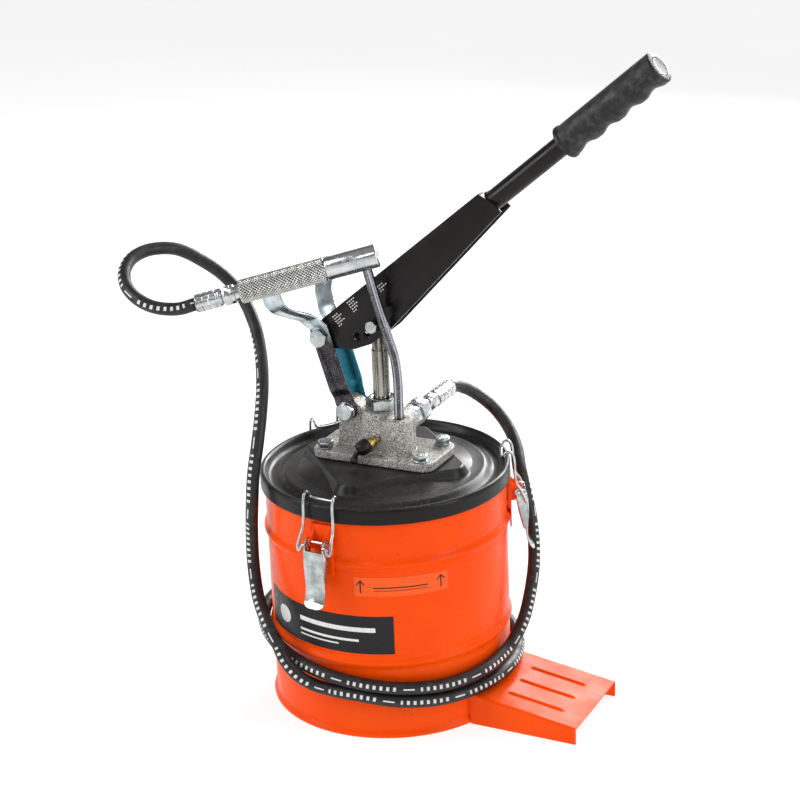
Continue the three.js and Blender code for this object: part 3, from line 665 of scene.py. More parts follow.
LOOK = {
    "orange_paint": orange_paint(),
    "black_paint": lid_paint(),
    "black_lever": lever_paint(),
    "zinc": zinc("zinc", (0.68, 0.71, 0.71), (0.46, 0.49, 0.50), (0.58, 0.58, 0.51)),
    "cast_metal": cast_metal(),
    "plain_steel": plain_steel(),
    "brass": brass(),
    "rubber": rubber("rubber", (0.0040, 0.0035, 0.0030), (0.016, 0.015, 0.014), 0.32),
    "grip_rubber": rubber("grip_rubber", (0.007, 0.007, 0.007), (0.050, 0.049, 0.049), 0.44, 520, 0.45),
    "nitrile": rubber("nitrile", (0.030, 0.028, 0.026), (0.055, 0.052, 0.048), 0.7, 600, 0.2),
}
HOSE = hose_rubber()
STRAP_PAINTED_LIGHT_Z = 0.352      # above it the straps turn a painted lighter tone, where light falls on their upper arms
BLUE_ZINC = zinc("zinc_blue", (0.028, 0.17, 0.24), (0.018, 0.125, 0.19), (0.05, 0.19, 0.24), 1.0, 0.36,
                 painted_light_above=STRAP_PAINTED_LIGHT_Z)
# Painted shade: the front strap's zinc is near black, standing in for the shade and dark reflection on its
# lower part; it has painted glints.
PAINTED_SHADE_ZINC = zinc("zinc_painted_shade", (0.065, 0.058, 0.066), (0.028, 0.024, 0.028), (0.050, 0.043, 0.046), 2.0, 0.24,
                 glint=(0.62, 0.62, 0.66), painted_light_above=STRAP_PAINTED_LIGHT_Z)
# Painted reflection and shade: the pipe and the rod get a near-black zinc with lighter stripes and glints,
# standing in for the dark and light reflections on bright plated steel.
PIPE_ZINC = zinc("zinc_pipe", (0.10, 0.10, 0.11), (0.040, 0.038, 0.045), (0.08, 0.075, 0.07), 1.6, 0.16,
                 glint=(0.8, 0.8, 0.8), painted_reflection_streaks=(3, 8, 1))
ROD_ZINC = zinc("zinc_rod", (0.085, 0.082, 0.070), (0.030, 0.028, 0.022), (0.060, 0.058, 0.042), 1.4, 0.14,
                glint=(0.7, 0.7, 0.64), painted_reflection_streaks=(8, 3, 1))
KNURL_ZINC = knurled_zinc()
WORN_ZINC = zinc("zinc_worn", (0.58, 0.62, 0.62), (0.30, 0.33, 0.33), (0.46, 0.46, 0.39), 1.5, 0.2)
LABEL_BLACK = flat_print("label_black", (0.014, 0.014, 0.016), 0.36)
PRINT_WHITE = flat_print("print_white", (0.82, 0.82, 0.80), 0.45)
PRINT_BLACK = flat_print("print_black", (0.02, 0.012, 0.01), 0.4)
CLEAR_FILM = flat_print("clear_film", (0.96, 0.110, 0.012), 0.2, 0.95)

for entry in frame["record"]["subparts"]:
    slot_list = NODES[entry["node"]].data.materials
    slot_list.clear()
    slot_list.append(LOOK[entry["material_slot"]])

hose.data.materials.append(HOSE)
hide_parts("grease_hose")
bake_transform(hose)


# ---- bucket, lid and pedal

BUCKET_R, LID_TOP, PAD_TOP = 114.2, 231.0, 237.4
BEAD_HALF, GROOVE_END, GROOVE_DEPTH = 5.0, 8.0, 0.45
BEADS = ((LOW_BEAD, 2.2), (HIGH_BEAD, 2.9))     # height up the wall, and how far each stands out


def smooth_max(a, b, k):
    h = max(0.0, min(1.0, 0.5 + (a - b) / (2 * k)))
    return b + (a - b) * h + k * h * (1 - h)


def bucket():
    hem = [(116.0, 0.0), (117.0, 0.9), (117.2, 2.4), (116.8, 4.0), (115.2, 5.6), (114.5, 7.2)]
    outside = hem + [(BUCKET_R, 9.5)]
    z = 12.0
    while z < 220:
        r = BUCKET_R
        for bead, height in BEADS:
            d = abs(z - bead)
            if d < BEAD_HALF:
                r += height * (0.5 + 0.5 * math.cos(math.pi * d / BEAD_HALF)) ** 0.7
            elif d < GROOVE_END:
                r -= GROOVE_DEPTH * math.sin(math.pi * (d - BEAD_HALF) / (GROOVE_END - BEAD_HALF))
        outside.append((r, z))
        near = min(abs(z - bead) for bead, height in BEADS)
        z += 0.6 if near < 9.5 else 3.4
    outside += [(BUCKET_R, 221), (115.6, 222.6), (115.8, 224.6), (115.2, 226), (113.2, 226)]
    inside = [(112.8, 224), (112.8, 8), (112.6, 0.4)]

    def wobble(a, r, z):
        if r < 113 or z < 8:
            return 0.0
        seam = SEAM_HEIGHT * math.exp(-(((a - SEAM_AT) * 114) / 2.2) ** 2)
        n = noise.noise(Vector((3.2 * math.cos(a), 3.2 * math.sin(a), z * 0.016)))
        return 0.22 * n + seam
    return lathe("bucket_skin", outside + inside, 192, wobble=wobble)


def pad_height(x, y):
    """Top of the pressed pad, sloping off outside its rounded square."""
    u, v = abs(x + y) * math.sqrt(0.5), abs(x - y) * math.sqrt(0.5)
    half, r = 60.7, 14.0
    qx, qy = u - (half - r), v - (half - r)
    d = math.hypot(max(qx, 0), max(qy, 0)) + min(max(qx, qy), 0) - r
    return PAD_TOP - max(0.0, d) * 1.7


def lid():
    """Dished top with the pressed pad, a step down to the rim's channel, and a rolled rim."""
    step_r, step_wide = 93, 10
    top = [(17.8, LID_TOP + 1.2)]
    r = 20.0
    while r < step_r:
        t = max(0.0, (r - 50) / (step_r - 50))
        top.append((r, LID_TOP + 1.2 - 4.6 * t * t * (3 - 2 * t)))
        r += 0.9
    for i in range(1, 13):
        t = i / 12
        fall = 5.0 * (0.5 - 0.5 * math.cos(math.pi * t))
        top.append((step_r + step_wide * t, LID_TOP - 3.4 - fall))
    top += [(106, 222.6), (108.5, 222.9), (110.2, 224.2), (111.3, 226.2), (112.3, 228.6), (113.4, 230.2)]
    top += [(114.9, 230.95), (116.4, 230.8), (117.5, 229.8), (118.0, 228.2), (118.05, 225.0), (118.0, 220.0)]
    top += [(118.2, 217.6), (118.1, 216.2), (117.3, 215.6), (116.4, 215.9)]
    under = [(116.3, 219), (116.2, 226.3), (113.2, 226.7), (111.2, 223.5), (109, 221.0), (103, 220.6)]
    under += [(step_r, 225.7), (55, 230.2), (17.8, 230.4)]
    profile = top + under
    segments = 320
    verts = []
    for i in range(segments):
        a = 2 * math.pi * i / segments
        for k, (r, z) in enumerate(profile):
            x, y = r * math.cos(a), r * math.sin(a)
            if r < 96 and k < len(top):
                z = smooth_max(z, pad_height(x, y), 1.1)
            elif r < 96:
                z = max(z - 0.2, pad_height(x * 1.03, y * 1.03) - 1.8)
            if 60 < r < 112 and k < len(top):
                z += 0.25 * noise.noise(Vector((x * 0.03, y * 0.03, 4)))
            verts.append((x, y, z))
    faces = skin(segments, len(profile), loop_rows=True)
    return shade_by_angle(outward(new_object("lid_skin", verts, faces)), 50)


def foot_plate():
    """Bent sheet pedal: sloping tread with three pressed ribs and a folded flange down each side."""
    half, end, z_in, z_out = 51.25, 211.0, 30.0, 16.0
    bend = 2.2

    def tread(x):
        return z_in + (z_out - z_in) * (x - BUCKET_R) / (end - BUCKET_R)

    section = [("side", -1, t) for t in (0, 0.25, 0.5, 0.75, 0.92)]
    section += [("bend", -1, t) for t in (0, 0.25, 0.5, 0.75, 1)]
    section += [("top", 0, -half + bend + (2 * half - 2 * bend) * i / 120) for i in range(1, 120)]
    section += [("bend", 1, t) for t in (1, 0.75, 0.5, 0.25, 0)]
    section += [("side", 1, t) for t in (0.92, 0.75, 0.5, 0.25, 0)]
    columns = 64
    verts, faces = [], []
    for kind, sign, t in section:
        y = {"side": sign * half, "top": t}.get(kind, sign * (half - bend * (1 - math.cos(t * math.pi / 2))))
        x0 = math.sqrt(117.7 ** 2 - y * y)
        for c in range(columns + 1):
            x = x0 + (end - x0) * c / columns
            top = tread(x)
            if kind == "side":
                z = (top - bend) * t / 0.92 if t < 0.92 else top - bend
                z = max(z, 0.0)
            elif kind == "bend":
                z = top - bend + bend * math.sin(t * math.pi / 2)
            else:
                z = top
                for rib in (-27, 0, 27):
                    dx = max(138 - x, 0, x - 188)
                    d = math.hypot(dx, y - rib)
                    z += 1.55 * (0.5 + 0.5 * math.cos(math.pi * min(1, d / 3.4)))
                z += 0.18 * noise.noise(Vector((x * 0.04, y * 0.04, 1)))
            verts.append((x, y, z))
    n = columns + 1
    for i in range(len(section) - 1):
        for c in range(columns):
            faces.append((i * n + c, i * n + c + 1, (i + 1) * n + c + 1, (i + 1) * n + c))
    obj = new_object("pedal_skin", verts, faces)
    with editing(obj) as bm:
        bm.normal_update()
        if sum(f.normal.z for f in bm.faces if abs(f.normal.z) > 0.9) < 0:
            bmesh.ops.reverse_faces(bm, faces=bm.faces)
    m = obj.modifiers.new("sheet", "SOLIDIFY")
    m.thickness = 2.0 * MM
    m.offset = -1
    apply_modifiers(obj)
    return shade_by_angle(obj, 50)


dress(bucket(), "base", LOOK["orange_paint"], "orange_paint", "bucket_shell")
dress(lid(), "base", LOOK["black_paint"], "black_paint", "lid")
dress(foot_plate(), "base", LOOK["orange_paint"], "orange_paint", "foot_plate")


# ---- labels: plain shapes, no words

def on_bucket(name, outline, lift, material):
    """A thin patch on the bucket wall; the outline is (degrees of azimuth, height)."""
    r = BUCKET_R + lift
    verts = [(r * math.cos(a * DEG), r * math.sin(a * DEG), z) for a, z in outline]
    obj = new_object(name, verts, [tuple(range(len(verts)))], smooth=False)
    return dress(obj, "base", material, "orange_paint")


def label_sheet(name, a0, a1, z0, z1, lift, material):
    r = BUCKET_R + lift
    n = max(2, int((a1 - a0) / 1.5))
    verts, faces = [], []
    for i in range(n + 1):
        a = (a0 + (a1 - a0) * i / n) * DEG
        verts += [(r * math.cos(a), r * math.sin(a), z0), (r * math.cos(a), r * math.sin(a), z1)]
    for i in range(n):
        faces.append((2 * i, 2 * i + 2, 2 * i + 3, 2 * i + 1))
    return dress(new_object(name, verts, faces), "base", material, "orange_paint")


def label_dot(azimuth, height, lift):
    """A filled circle on the wall, as rings about its middle."""
    radii = (0.05, 4.4, 8.6)
    degrees_per_mm = 1 / 1.7
    steps = 36
    r = BUCKET_R + lift
    verts = []
    for i in range(steps):
        c, s = math.cos(i * 10 * DEG), math.sin(i * 10 * DEG)
        for radius in radii:
            a = (azimuth + radius * c * degrees_per_mm) * DEG
            verts.append((r * math.cos(a), r * math.sin(a), height + radius * s))
    return dress(new_object("label_dot", verts, skin(steps, len(radii))), "base", PRINT_WHITE, "orange_paint")


FILM_LIFT, PLATE_LIFT, MARK_LIFT, BAR_LIFT, DOT_LIFT = 0.22, 0.25, 0.3, 0.34, 0.36
LABEL_BARS = ((-110, -70, 108, 112.5), (-110, -78, 98, 100.4), (-110, -88, 93.5, 95))

label_sheet("label_plate", -137.5, -61.5, 86, 124, PLATE_LIFT, LABEL_BLACK)
for i, (a0, a1, z0, z1) in enumerate(LABEL_BARS):
    label_sheet(f"label_bar_{i + 1}", a0, a1, z0, z1, BAR_LIFT, PRINT_WHITE)
label_dot(-122.5, 105, DOT_LIFT)

label_sheet("level_film", -79, -35, 144, 163, FILM_LIFT, CLEAR_FILM)
for side, a in (("left", -76), ("right", -38.5)):
    label_sheet(f"level_stem_{side}", a - 0.3, a + 0.3, 147.5, 158.5, MARK_LIFT, PRINT_BLACK)
    for k, s in enumerate((-1, 1)):
        barb = [(a, 160.4), (a + 2.1 * s, 155.6), (a + 1.75 * s, 154.9), (a, 158.6)]
        on_bucket(f"level_tip_{side}_{k + 1}", barb, MARK_LIFT, PRINT_BLACK)
label_sheet("level_line", -70, -45, 152.2, 153.3, MARK_LIFT, PRINT_BLACK)
label_sheet("level_line_low", -70, -45, 149.6, 150.1, MARK_LIFT, PRINT_BLACK)


# ---- fasteners

def hexagon(flats, height, turn=0.0, steps=48):
    """A chamfered hexagon: for each angle, its foot, shoulder and top edge as (radius, z)."""
    rows = []
    edge = flats / 2 * 0.965
    for i in range(steps):
        t = 360 * i / steps
        side = (flats / 2) / math.cos(((t % 60) - 30) * DEG)
        shoulder = height - max(0.0, side - edge) * 0.58
        rows.append(((t + turn) * DEG, [(side, 0.0), (side, shoulder), (edge, height)]))
    return rows


def hexagon_head(name, flats, height, place, turn=0.0, shank=None, washer=None):
    """Hexagon head with a chamfered top, on a washer and a shank that reach down along local -Z."""
    verts = []
    rows = hexagon(flats, height, turn)
    for a, ring in rows:
        edge = ring[2][0]
        for r, z in ring + [(edge * 0.6, height), (0.0, height)]:
            verts.append((r * math.cos(a), r * math.sin(a), z))
    k = 5
    faces = skin(len(rows), k)
    faces.append(tuple(i * k for i in range(len(rows) - 1, -1, -1)))
    obj = new_object(name, verts, faces)
    with editing(obj) as bm:
        for radius, z0, z1 in [p for p in (washer, shank) if p]:
            c = bmesh.ops.create_cone(bm, cap_ends=True, segments=32, radius1=radius * MM,
                                      radius2=radius * MM, depth=(z1 - z0) * MM)
            bmesh.ops.translate(bm, verts=c["verts"], vec=(0, 0, (z0 + z1) / 2 * MM))
        bmesh.ops.remove_doubles(bm, verts=bm.verts, dist=WELD)
        bmesh.ops.recalc_face_normals(bm, faces=bm.faces)
        scaled = place.copy()
        scaled.translation = place.translation * MM
        bmesh.ops.transform(bm, matrix=scaled, verts=bm.verts)
    return bevel(obj, 0.22, 2, 28)


def towards(origin, direction):
    return along(origin, Vector(origin) + Vector(direction))


FRONT = (0, -1, 0)
HEAD_BOLT_X, HEAD_BOLT_Y, FLANGE_TOP = 49.5, 23.7, 248.0
LINK_PIN, FULCRUM, ROD_PIN = (-31, 282), (-53, 353), (0, 368)

places = [(sx * HEAD_BOLT_X, sy * HEAD_BOLT_Y, FLANGE_TOP) for sx in (-1, 1) for sy in (-1, 1)]
for number, place in enumerate(places, 1):
    obj = hexagon_head(f"head_bolt_{number}_fine", 13, 5.9, Matrix.Translation(place),
                       turn=15 * number, washer=(7.2, -1.2, 0.1), shank=(4.2, -8.8, 0.05))
    dress(obj, "base", WORN_ZINC, "zinc", f"head_bolt_{number}")

# Each cross bolt: its body, the pin's (x, z), where its head starts, flats, height, shank and washer.
for node, body, (x, z), y, flats, height, shank, washer in (
        ("link_bolt", "base", LINK_PIN, -13.6, 16, 6.6, (5, -37.2, 0.05), (9.2, 0, 1.5)),
        ("fulcrum_bolt", "link", FULCRUM, -16.4, 16, 6.5, (5, -42.8, 0.05), None),
        ("rod_pin", "lever", ROD_PIN, -12.3, 11, 4.4, (4, -32.3, 0.05), None)):
    obj = hexagon_head(node + "_fine", flats, height, towards((x, y, z), FRONT), 20, shank, washer)
    dress(obj, body, WORN_ZINC, "zinc", node)


def casting():
    """The pump head with its sand-cast corners filled and rounded."""
    obj = bpy.data.objects.new("pump_head_fine", NODES["pump_head"].data.copy())
    bpy.context.scene.collection.objects.link(obj)
    obj.data.materials.clear()
    m = obj.modifiers.new("remesh", "REMESH")
    m.mode = "VOXEL"
    m.voxel_size = 0.75 * MM
    m.adaptivity = 0
    s = obj.modifiers.new("soften", "SMOOTH")
    s.factor = 0.5
    s.iterations = 5
    apply_modifiers(obj)
    d = obj.modifiers.new("fewer", "DECIMATE")
    d.ratio = 0.4
    apply_modifiers(obj)
    return shade_by_angle(obj, 60)


dress(casting(), "base", LOOK["cast_metal"], "cast_metal", "pump_head")

for node, body, width, look in (
        ("swivel_nut", "base", 0.45, "zinc"), ("outlet_adapter", "base", 0.4, "zinc"),
        ("outlet_tail", "base", 0.35, "zinc"), ("link_nut", "base", 0.4, "zinc"),
        ("fulcrum_nut", "link", 0.4, "zinc"), ("rod_pin_nut", "lever", 0.3, "zinc"),
        ("rod_eye", "rod", 0.4, "zinc"), ("gun_coupler", "gun", 0.35, "zinc"),
        ("loader_nipple", "base", 0.2, "brass"), ("dust_cap", "dust_cap", 0.5, "rubber"),
        ("lever_channel", "lever", 0.75, "black_lever"), ("clip_bracket_1", "base", 0.25, "orange_paint"),
        ("clip_bracket_2", "base", 0.25, "orange_paint"), ("clip_bracket_3", "base", 0.25, "orange_paint")):
    dress(polished(node, width), body, LOOK[look], look, node)


def gland_nut():
    """Hexagon nut over the seal, bored for the rod and recessed for the seal's lip."""
    foot, tall = 285.4, 10.6
    bore = [(10.6, 10.6), (9.4, 10.1), (8.9, 9.95), (10.7, 9.9), (10.7, 6.8), (8.9, 6.7), (8.9, 0)]
    verts = []
    rows = hexagon(27, tall, 27)
    for a, ring in rows:
        for r, z in ring + bore:
            verts.append((r * math.cos(a), r * math.sin(a), foot + z))
    faces = skin(len(rows), 3 + len(bore), loop_rows=True)
    return shade_by_angle(outward(new_object("gland_nut_fine", verts, faces)), 24)


dress(gland_nut(), "base", WORN_ZINC, "zinc", "gland_nut")

rod_profile = [(0, 79), (5.8, 79), (6, 79.4), (6, 98), (7.8, 98), (8, 98.4), (8, 342.4), (7.4, 343.2)]
rod_profile += [(7.4, 345), (7.15, 345.4), (7.4, 346), (7.4, 356.6), (7, 357), (0, 357)]
rod = lathe("piston_rod_fine", rod_profile, 48)
dress(rod, "rod", ROD_ZINC, "zinc", "piston_rod")


# ---- straps

HOOK = [
    (-60, -16, 366), (-63.8, -19, 371), (-69.6, -27, 375.6), (-75, -34.5, 379.6), (-79, -42, 384.6),
    (-81.6, -47.6, 391.4), (-82.6, -50.2, 399), (-83, -50.8, 405), (-83.2, -50.9, 409),
]


def strap(side):
    """One strap, joggled outwards at the lever, with its hook; side is -1 in front and 1 behind."""
    lean = 17.2 * DEG
    up = Vector((-math.sin(lean), 0, math.cos(lean)))
    across = Vector((math.cos(lean), 0, math.sin(lean)))
    low, high = 9.8 + 1.75, 12.6 + 1.75
    pin = Vector((LINK_PIN[0], 0, LINK_PIN[1]))

    def at(s, y):
        p = pin + up * s
        return Vector((p.x, -y, p.z))

    joggle = [at(-9.5, low), at(5, low), at(13, low), at(15, low + 0.15), at(17, low + 0.75)]
    joggle += [at(20.5, high - 0.75), at(22.5, high - 0.15)]
    joggle += [at(s, high) for s in (24.5, 45, 60, 75, 82, 84)]
    hook = catmull([at(84, high)] + [Vector(p) for p in HOOK], 8)
    path = joggle + hook[1:]
    if side > 0:
        path = [Vector((p.x, -p.y, p.z)) for p in path]
    name = "link_front" if side < 0 else "link_rear"
    obj = strip(name + "_fine", path, across, 19.6, 3.5, ends=(9.5, 5), step=1.4)
    for x, z in (LINK_PIN, FULCRUM):
        cut_away(obj, cylinder("hole", 5.3, -40, 40, 32, towards((x, 0, z), FRONT)))
    shade_by_angle(obj, 50)
    return dress(obj, "link", PAINTED_SHADE_ZINC if side < 0 else BLUE_ZINC, "zinc", name)


strap(-1)
strap(1)


# ---- lever bar and grip

SLOPE = 39.5 * DEG
LEVER_DIR = Vector((math.cos(SLOPE), 0, math.sin(SLOPE)))
GRIP_END = Vector((271.8, 0, 619.3))
UNDER = Vector((math.sin(SLOPE), 0, -math.cos(SLOPE)))
GRIP = 110.0


def on_lever(distance):
    return GRIP_END - LEVER_DIR * distance


bar_profile = [(0, 0), (8.9, 0), (9.3, 0.5), (9.3, 195.6), (8, 197), (0, 197)]
bar = lathe("lever_bar_fine", bar_profile, 48, place=along(on_lever(203), GRIP_END))
dress(bar, "lever", LOOK["black_lever"], "black_lever", "lever_bar")


def grip():
    """Moulded grip: a straight back, four finger scallops underneath and a collar at the front."""
    rows = []
    s = 0.0
    while s <= GRIP - 0.2 + 1e-6:
        rows.append(s)
        s += 0.62
    verts, faces = [], []
    sides = 64
    side_dir = Vector((0, 1, 0))
    start = on_lever(GRIP)
    for s in rows:
        if s < 4.6:
            base = 15.2 + 0.6 * min(1, s / 0.6) if s < 3.2 else 15.8 - (s - 3.2) / 1.4
        elif s > GRIP - 2:
            base = 14.8 - 1.2 * max(0, (s - (GRIP - 1.6)) / 1.4) ** 2
        else:
            base = 14.8
        for k in range(sides):
            a = 2 * math.pi * k / sides
            d = UNDER * math.cos(a) + side_dir * math.sin(a)
            r = base
            if 5 < s < GRIP - 3:
                below = max(0.0, math.cos(a)) ** 0.7
                bite = 0.0
                for i in range(4):
                    q = abs(s - (17 + i * 25.5)) / 10.2
                    if q < 1:
                        bite = max(bite, (0.5 + 0.5 * math.cos(math.pi * q)) ** 0.75)
                r -= 2.7 * bite * below
            verts.append(tuple(start + LEVER_DIR * s + d * r))
    n = len(rows)
    for i in range(n - 1):
        for k in range(sides):
            j = (k + 1) % sides
            faces.append((i * sides + k, i * sides + j, (i + 1) * sides + j, (i + 1) * sides + k))
    inner = []
    for s, r in ((GRIP - 0.2, 9.6), (0.0, 9.6)):
        inner.append(len(verts))
        for k in range(sides):
            a = 2 * math.pi * k / sides
            d = UNDER * math.cos(a) + side_dir * math.sin(a)
            verts.append(tuple(start + LEVER_DIR * s + d * r))
    loops = [(n - 1) * sides, inner[0], inner[1], 0]
    for a, b in zip(loops, loops[1:]):
        for k in range(sides):
            j = (k + 1) % sides
            faces.append((a + k, a + j, b + j, b + k))
    return shade_by_angle(outward(new_object("lever_grip_fine", verts, faces)), 45)


dress(grip(), "lever", LOOK["grip_rubber"], "grip_rubber", "lever_grip")
END_WORN = rubber("grip_end_worn", (0.16, 0.16, 0.155), (0.42, 0.42, 0.40), 0.5, 320, 0.5)
plug_profile = [(0, GRIP - 5.4), (9.2, GRIP - 5.4), (9.2, GRIP - 0.5), (8.6, GRIP - 0.05)]
plug_profile += [(5.0, GRIP - 0.5), (0, GRIP - 0.7)]
plug = lathe("grip_plug_fine", plug_profile, 40, place=along(on_lever(GRIP), GRIP_END))
dress(plug, "lever", END_WORN, "grip_rubber", "grip_plug")

CHEEK_Y = -12.06
DASH_LONG, DASH_TALL, DASH_PITCH, ROW_PITCH = 1.7, 1, 2.7, 2.5
# Where each block of dashes starts on the cheek, and how many dashes are in each of its rows.
MARK_BLOCKS = ((-42, 372.5, (3, 4, 3, 4, 2)), (-26, 388, (4, 3, 4, 3, 2)), (6, 406.5, (3, 4, 2)))


def lever_marks():
    """Plain white dashes on the front cheek of the lever, in rows along its slope."""
    verts, faces = [], []
    for x, z, rows in MARK_BLOCKS:
        for i, count in enumerate(rows):
            for k in range(count):
                along_row = k * DASH_PITCH + 0.5 * (i % 2)
                p = Vector((x, CHEEK_Y, z)) + UNDER * (i * ROW_PITCH) + LEVER_DIR * along_row
                first = len(verts)
                for s, t in ((0, 0), (DASH_LONG, 0), (DASH_LONG, DASH_TALL), (0, DASH_TALL)):
                    verts.append(tuple(p + LEVER_DIR * s + UNDER * t))
                faces.append(tuple(first + q for q in range(4)))
    return new_object("lever_marks", verts, faces, smooth=False)


dress(lever_marks(), "lever", PRINT_WHITE, "black_lever")


# ---- control handle

GUN_LENGTH = (GUN_TAIL - GUN_END).length
GUN = along(GUN_END, GUN_TAIL)


def ferrule(name, start, end, place, body, node):
    """Crimped sleeve: pressed flats between two plain collars, and shallow grooves round it."""
    rows = [(0.0, start)]
    s = start
    while s < end - 0.3:
        t = (s - start) / (end - start)
        r = 8.4 if 0.07 < t < 0.96 else 8.15
        r -= 0.55 * math.exp(-(((t * 4) % 1 - 0.9) / 0.07) ** 2)
        rows.append((r, s))
        s += 0.45
    rows += [(8.1, end - 0.25), (7.4, end), (0, end)]

    def crimp(a, r, z):
        t = (z - start) / (end - start)
        return -0.3 * (abs(math.cos(8 * a)) ** 0.6) if 0.1 < t < 0.93 and r > 7 else 0.0
    return dress(lathe(name, rows, 96, place=place, wobble=crimp), body, LOOK["zinc"], "zinc", node)


def knurled():
    rows = [(0, 48.6), (10.3, 48.6), (10.9, 49.2)]
    s = 49.4
    while s < 127.6:
        rows.append((11.0, s))
        s += 0.42
    rows += [(10.6, 128.2), (9.6, 129.4), (0, 129.4)]

    def cut(a, r, z):
        if not 49.9 < z < 127.4 or r < 10.8:
            return 0.0
        h = 0.0
        for sign in (1, -1):
            phase = (a * KNURL_TURNS / (2 * math.pi) + sign * z / KNURL_PITCH) % 1
            h = max(h, math.exp(-((min(phase, 1 - phase)) / 0.17) ** 2))
        return -0.8 * h
    return lathe("gun_handle_fine", rows, 176, place=GUN, wobble=cut)


dress(knurled(), "gun", KNURL_ZINC, "zinc", "gun_handle")
PIPE_S, PIPE_R, PIPE_TENSION = 11.5, 4.5, 0.4
PIPE_LINE = ((26.5, -18, 259), (26.5, -18, 290), (26.5, -18, 322), (24.6, -19, 344), (20.4, -20.9, 361),
             (12.7, -24.6, 393))
head_profile = [(0, 0.3), (4.2, 0.3), (4.6, 0), (8.9, 0), (9.9, 0.5), (10.6, 1.4), (10.7, 2.4)]
head_profile += [(10.7, 47.4), (10.2, 48.2), (0, 48.2)]
head = lathe("gun_head_fine", head_profile, 72, place=GUN)
pipe_top = GUN_END.lerp(GUN_TAIL, PIPE_S / GUN_LENGTH)
pipe_end = Vector((pipe_top.x + 1, pipe_top.y - 0.4, pipe_top.z - 9.6))
pipe_points = [Vector(p) for p in PIPE_LINE] + [pipe_end]
cut_away(head, cylinder("socket", 5, -1, 30, 40, along(pipe_top + Vector((0.2, 0, -5.5)), pipe_end)))
dress(head, "gun", LOOK["zinc"], "zinc", "gun_head")


pipe_line = catmull(pipe_points, 14, PIPE_TENSION)
pipe = tube("gun_pipe_fine", pipe_line, PIPE_R, sides=28, step=2.0)
dress(shade_by_angle(pipe, 50), "gun", PIPE_ZINC, "zinc", "gun_pipe")
ferrule("gun_ferrule_fine", 146, GUN_LENGTH, GUN, "gun", "gun_ferrule")
OUTLET = along((OUTLET_X, 0, OUTLET_Z), (OUTLET_X, 10, OUTLET_Z))
ferrule("outlet_ferrule_fine", 63.4, OUTLET_END, OUTLET, "base", "outlet_ferrule")


# ---- clips

def clip(k, azimuth):
    """A sheet lever with two bored cheeks, and the wire bail that pulls the lid's rim down."""
    turn = Matrix.Rotation(azimuth * DEG, 4, "Z")

    def spin(points):
        return [turn @ Vector(p) for p in points]

    pr, pz, br, bz, half = 125, 197.5, 131, 195.5, 10.2     # the pin, the bail's hole and the half width
    back = [(133.2, 191.5), (133.6, 177.5), (132.4, 160.5), (132.6, 150.5), (135.2, 143), (139, 137.5)]
    back = catmull([(x, 0, z) for x, z in back], 8)
    face = strip(f"clip_lever_{k}_fine", spin(back), turn @ Vector((0, 1, 0)), 2 * half, 1.4,
                 ends=(0, 6), step=0.9)
    cheek = [(132.9, 191.7), (133.1, 175.5), (132.3, 157.5), (128.5, 161.5), (124.5, 177.5)]
    cheek += arc(pr, pz, 4.2, 215, 55, 14) + [(131.6, 199.5)]
    parts = [face]
    for y0, y1 in ((-half, 1.5 - half), (half - 1.5, half)):
        c = prism("cheek", cheek, y0, y1)
        for x, z, r in ((pr, pz, 1.85), (br, bz, 1.8)):
            cut_away(c, cylinder("hole", r, -30, 30, 20, towards((x, 0, z), FRONT)))
        c.data.transform(turn)
        bevel(c, 0.2, 1)
        parts.append(c)
    bm = bmesh.new()
    for part in parts:
        bm.from_mesh(part.data)
    bm.to_mesh(face.data)
    bm.free()
    for part in parts[1:]:
        bpy.data.objects.remove(part)
    shade_by_angle(face, 45)
    dress(face, f"clip_lever_{k}", WORN_ZINC, "zinc", f"clip_lever_{k}")

    def side(s):
        half_wire = [(br, 8.9, bz), (br, 12.4, bz), (br + 0.6, 15.6, bz - 5.5), (br - 0.4, 17.4, bz - 1.5)]
        half_wire += [(br - 4, 16.4, bz + 7), (122.8, 15.8, 209.5), (121.4, 15.4, 220), (120.9, 15.2, 232)]
        half_wire += [(119.2, 15.2, 239), (116, 15, 240.8), (112.6, 14.4, 239), (110.4, 12.6, 234.6)]
        return [(x, s * y, z) for x, y, z in half_wire]
    wire = catmull(side(-1) + [(109.8, 0, 233.6)] + side(1)[::-1], 12)
    bail = tube(f"clip_bail_{k}_fine", spin(wire), 1.45, sides=12, step=1.0)
    dress(shade_by_angle(bail, 50), f"clip_bail_{k}", WORN_ZINC, "zinc", f"clip_bail_{k}")


for number, azimuth in enumerate((-93, 27, 147), 1):
    clip(number, azimuth)


# ---- floor, light and finish

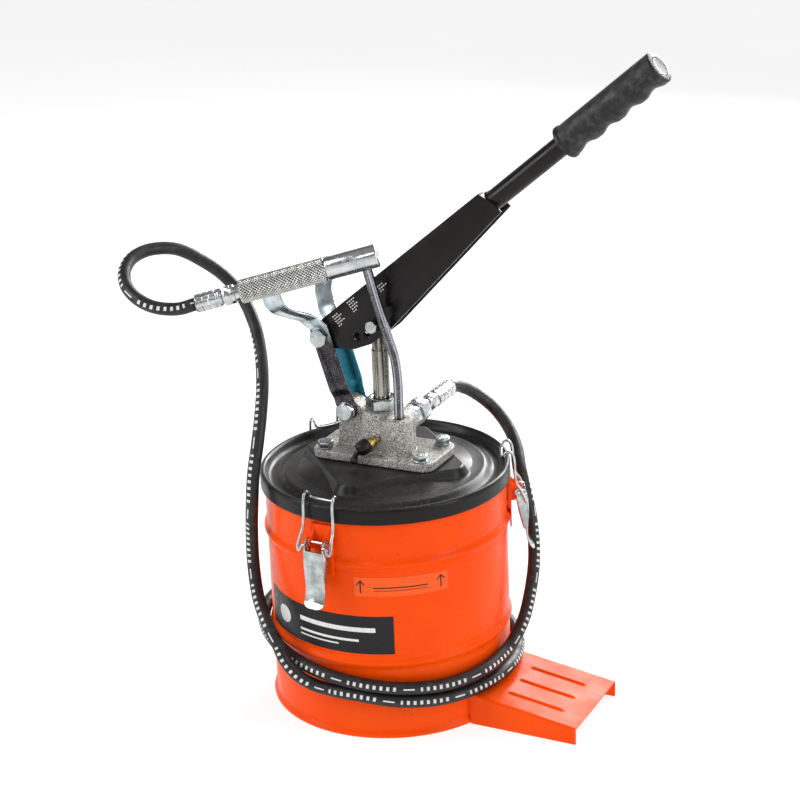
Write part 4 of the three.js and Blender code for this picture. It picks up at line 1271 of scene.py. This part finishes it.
FLOOR = 6000
FLOOR_GLOW = 0.8
corners = [(-FLOOR, -FLOOR, 0), (FLOOR, -FLOOR, 0), (FLOOR, FLOOR, 0), (-FLOOR, FLOOR, 0)]
floor = new_object("floor", corners, [(0, 1, 2, 3)], smooth=False)
floor_paint = Paint("floor", (0.3, 0.3, 0.3), 0.8)
cloud = floor_paint.ramp(floor_paint.noise(1.5, 2), 0.3, 0.7)
floor_paint.color(floor_paint.mix(cloud, (0.29, 0.29, 0.29), (0.31, 0.31, 0.31)))
floor_paint.bsdf.inputs["Emission Color"].default_value = (1, 1, 1, 1)
floor_paint.bsdf.inputs["Emission Strength"].default_value = FLOOR_GLOW
floor.data.materials.append(floor_paint.mat)

world = bpy.data.worlds.new("studio")
bpy.context.scene.world = world
world.use_nodes = True
tree = world.node_tree
background = tree.nodes["Background"]
coords = tree.nodes.new("ShaderNodeTexCoord")
split = tree.nodes.new("ShaderNodeSeparateXYZ")
tree.links.new(coords.outputs["Generated"], split.inputs[0])
ramp = tree.nodes.new("ShaderNodeValToRGB")
ramp.color_ramp.interpolation = "EASE"
stops = ramp.color_ramp.elements
stops[0].position, stops[0].color = 0.0, (0.88, 0.88, 0.88, 1)
stops[1].position, stops[1].color = 1.0, (0.34, 0.34, 0.34, 1)
for position, value in ((0.20, 0.80), (0.42, 0.12), (0.70, 0.20)):
    stops.new(position).color = (value, value, value, 1)
tree.links.new(split.outputs[2], ramp.inputs[0])
tree.links.new(ramp.outputs[0], background.inputs[0])
background.inputs[1].default_value = 1.0


def soft_light(name, place, aim, size, watts):
    data = bpy.data.lights.new(name, "AREA")
    data.shape = "RECTANGLE"
    data.size, data.size_y = size
    data.energy = watts
    lamp = bpy.data.objects.new(name, data)
    bpy.context.scene.collection.objects.link(lamp)
    lamp.matrix_world = look_from(Vector(place), Vector(aim), 0)


soft_light("key", (-1.5, -1.3, 1.5), (0, 0, 0.25), (0.9, 1.8), 26)
soft_light("fill", (1.9, -0.25, 1.2), (0, 0, 0.25), (0.6, 1.9), 17)
soft_light("back", (0.25, 2.1, 1.25), (0, 0, 0.25), (1.7, 1.1), 80)
soft_light("front", (0.25, -2.0, 2.2), (0, 0, 0.2), (0.5, 0.5), 6)
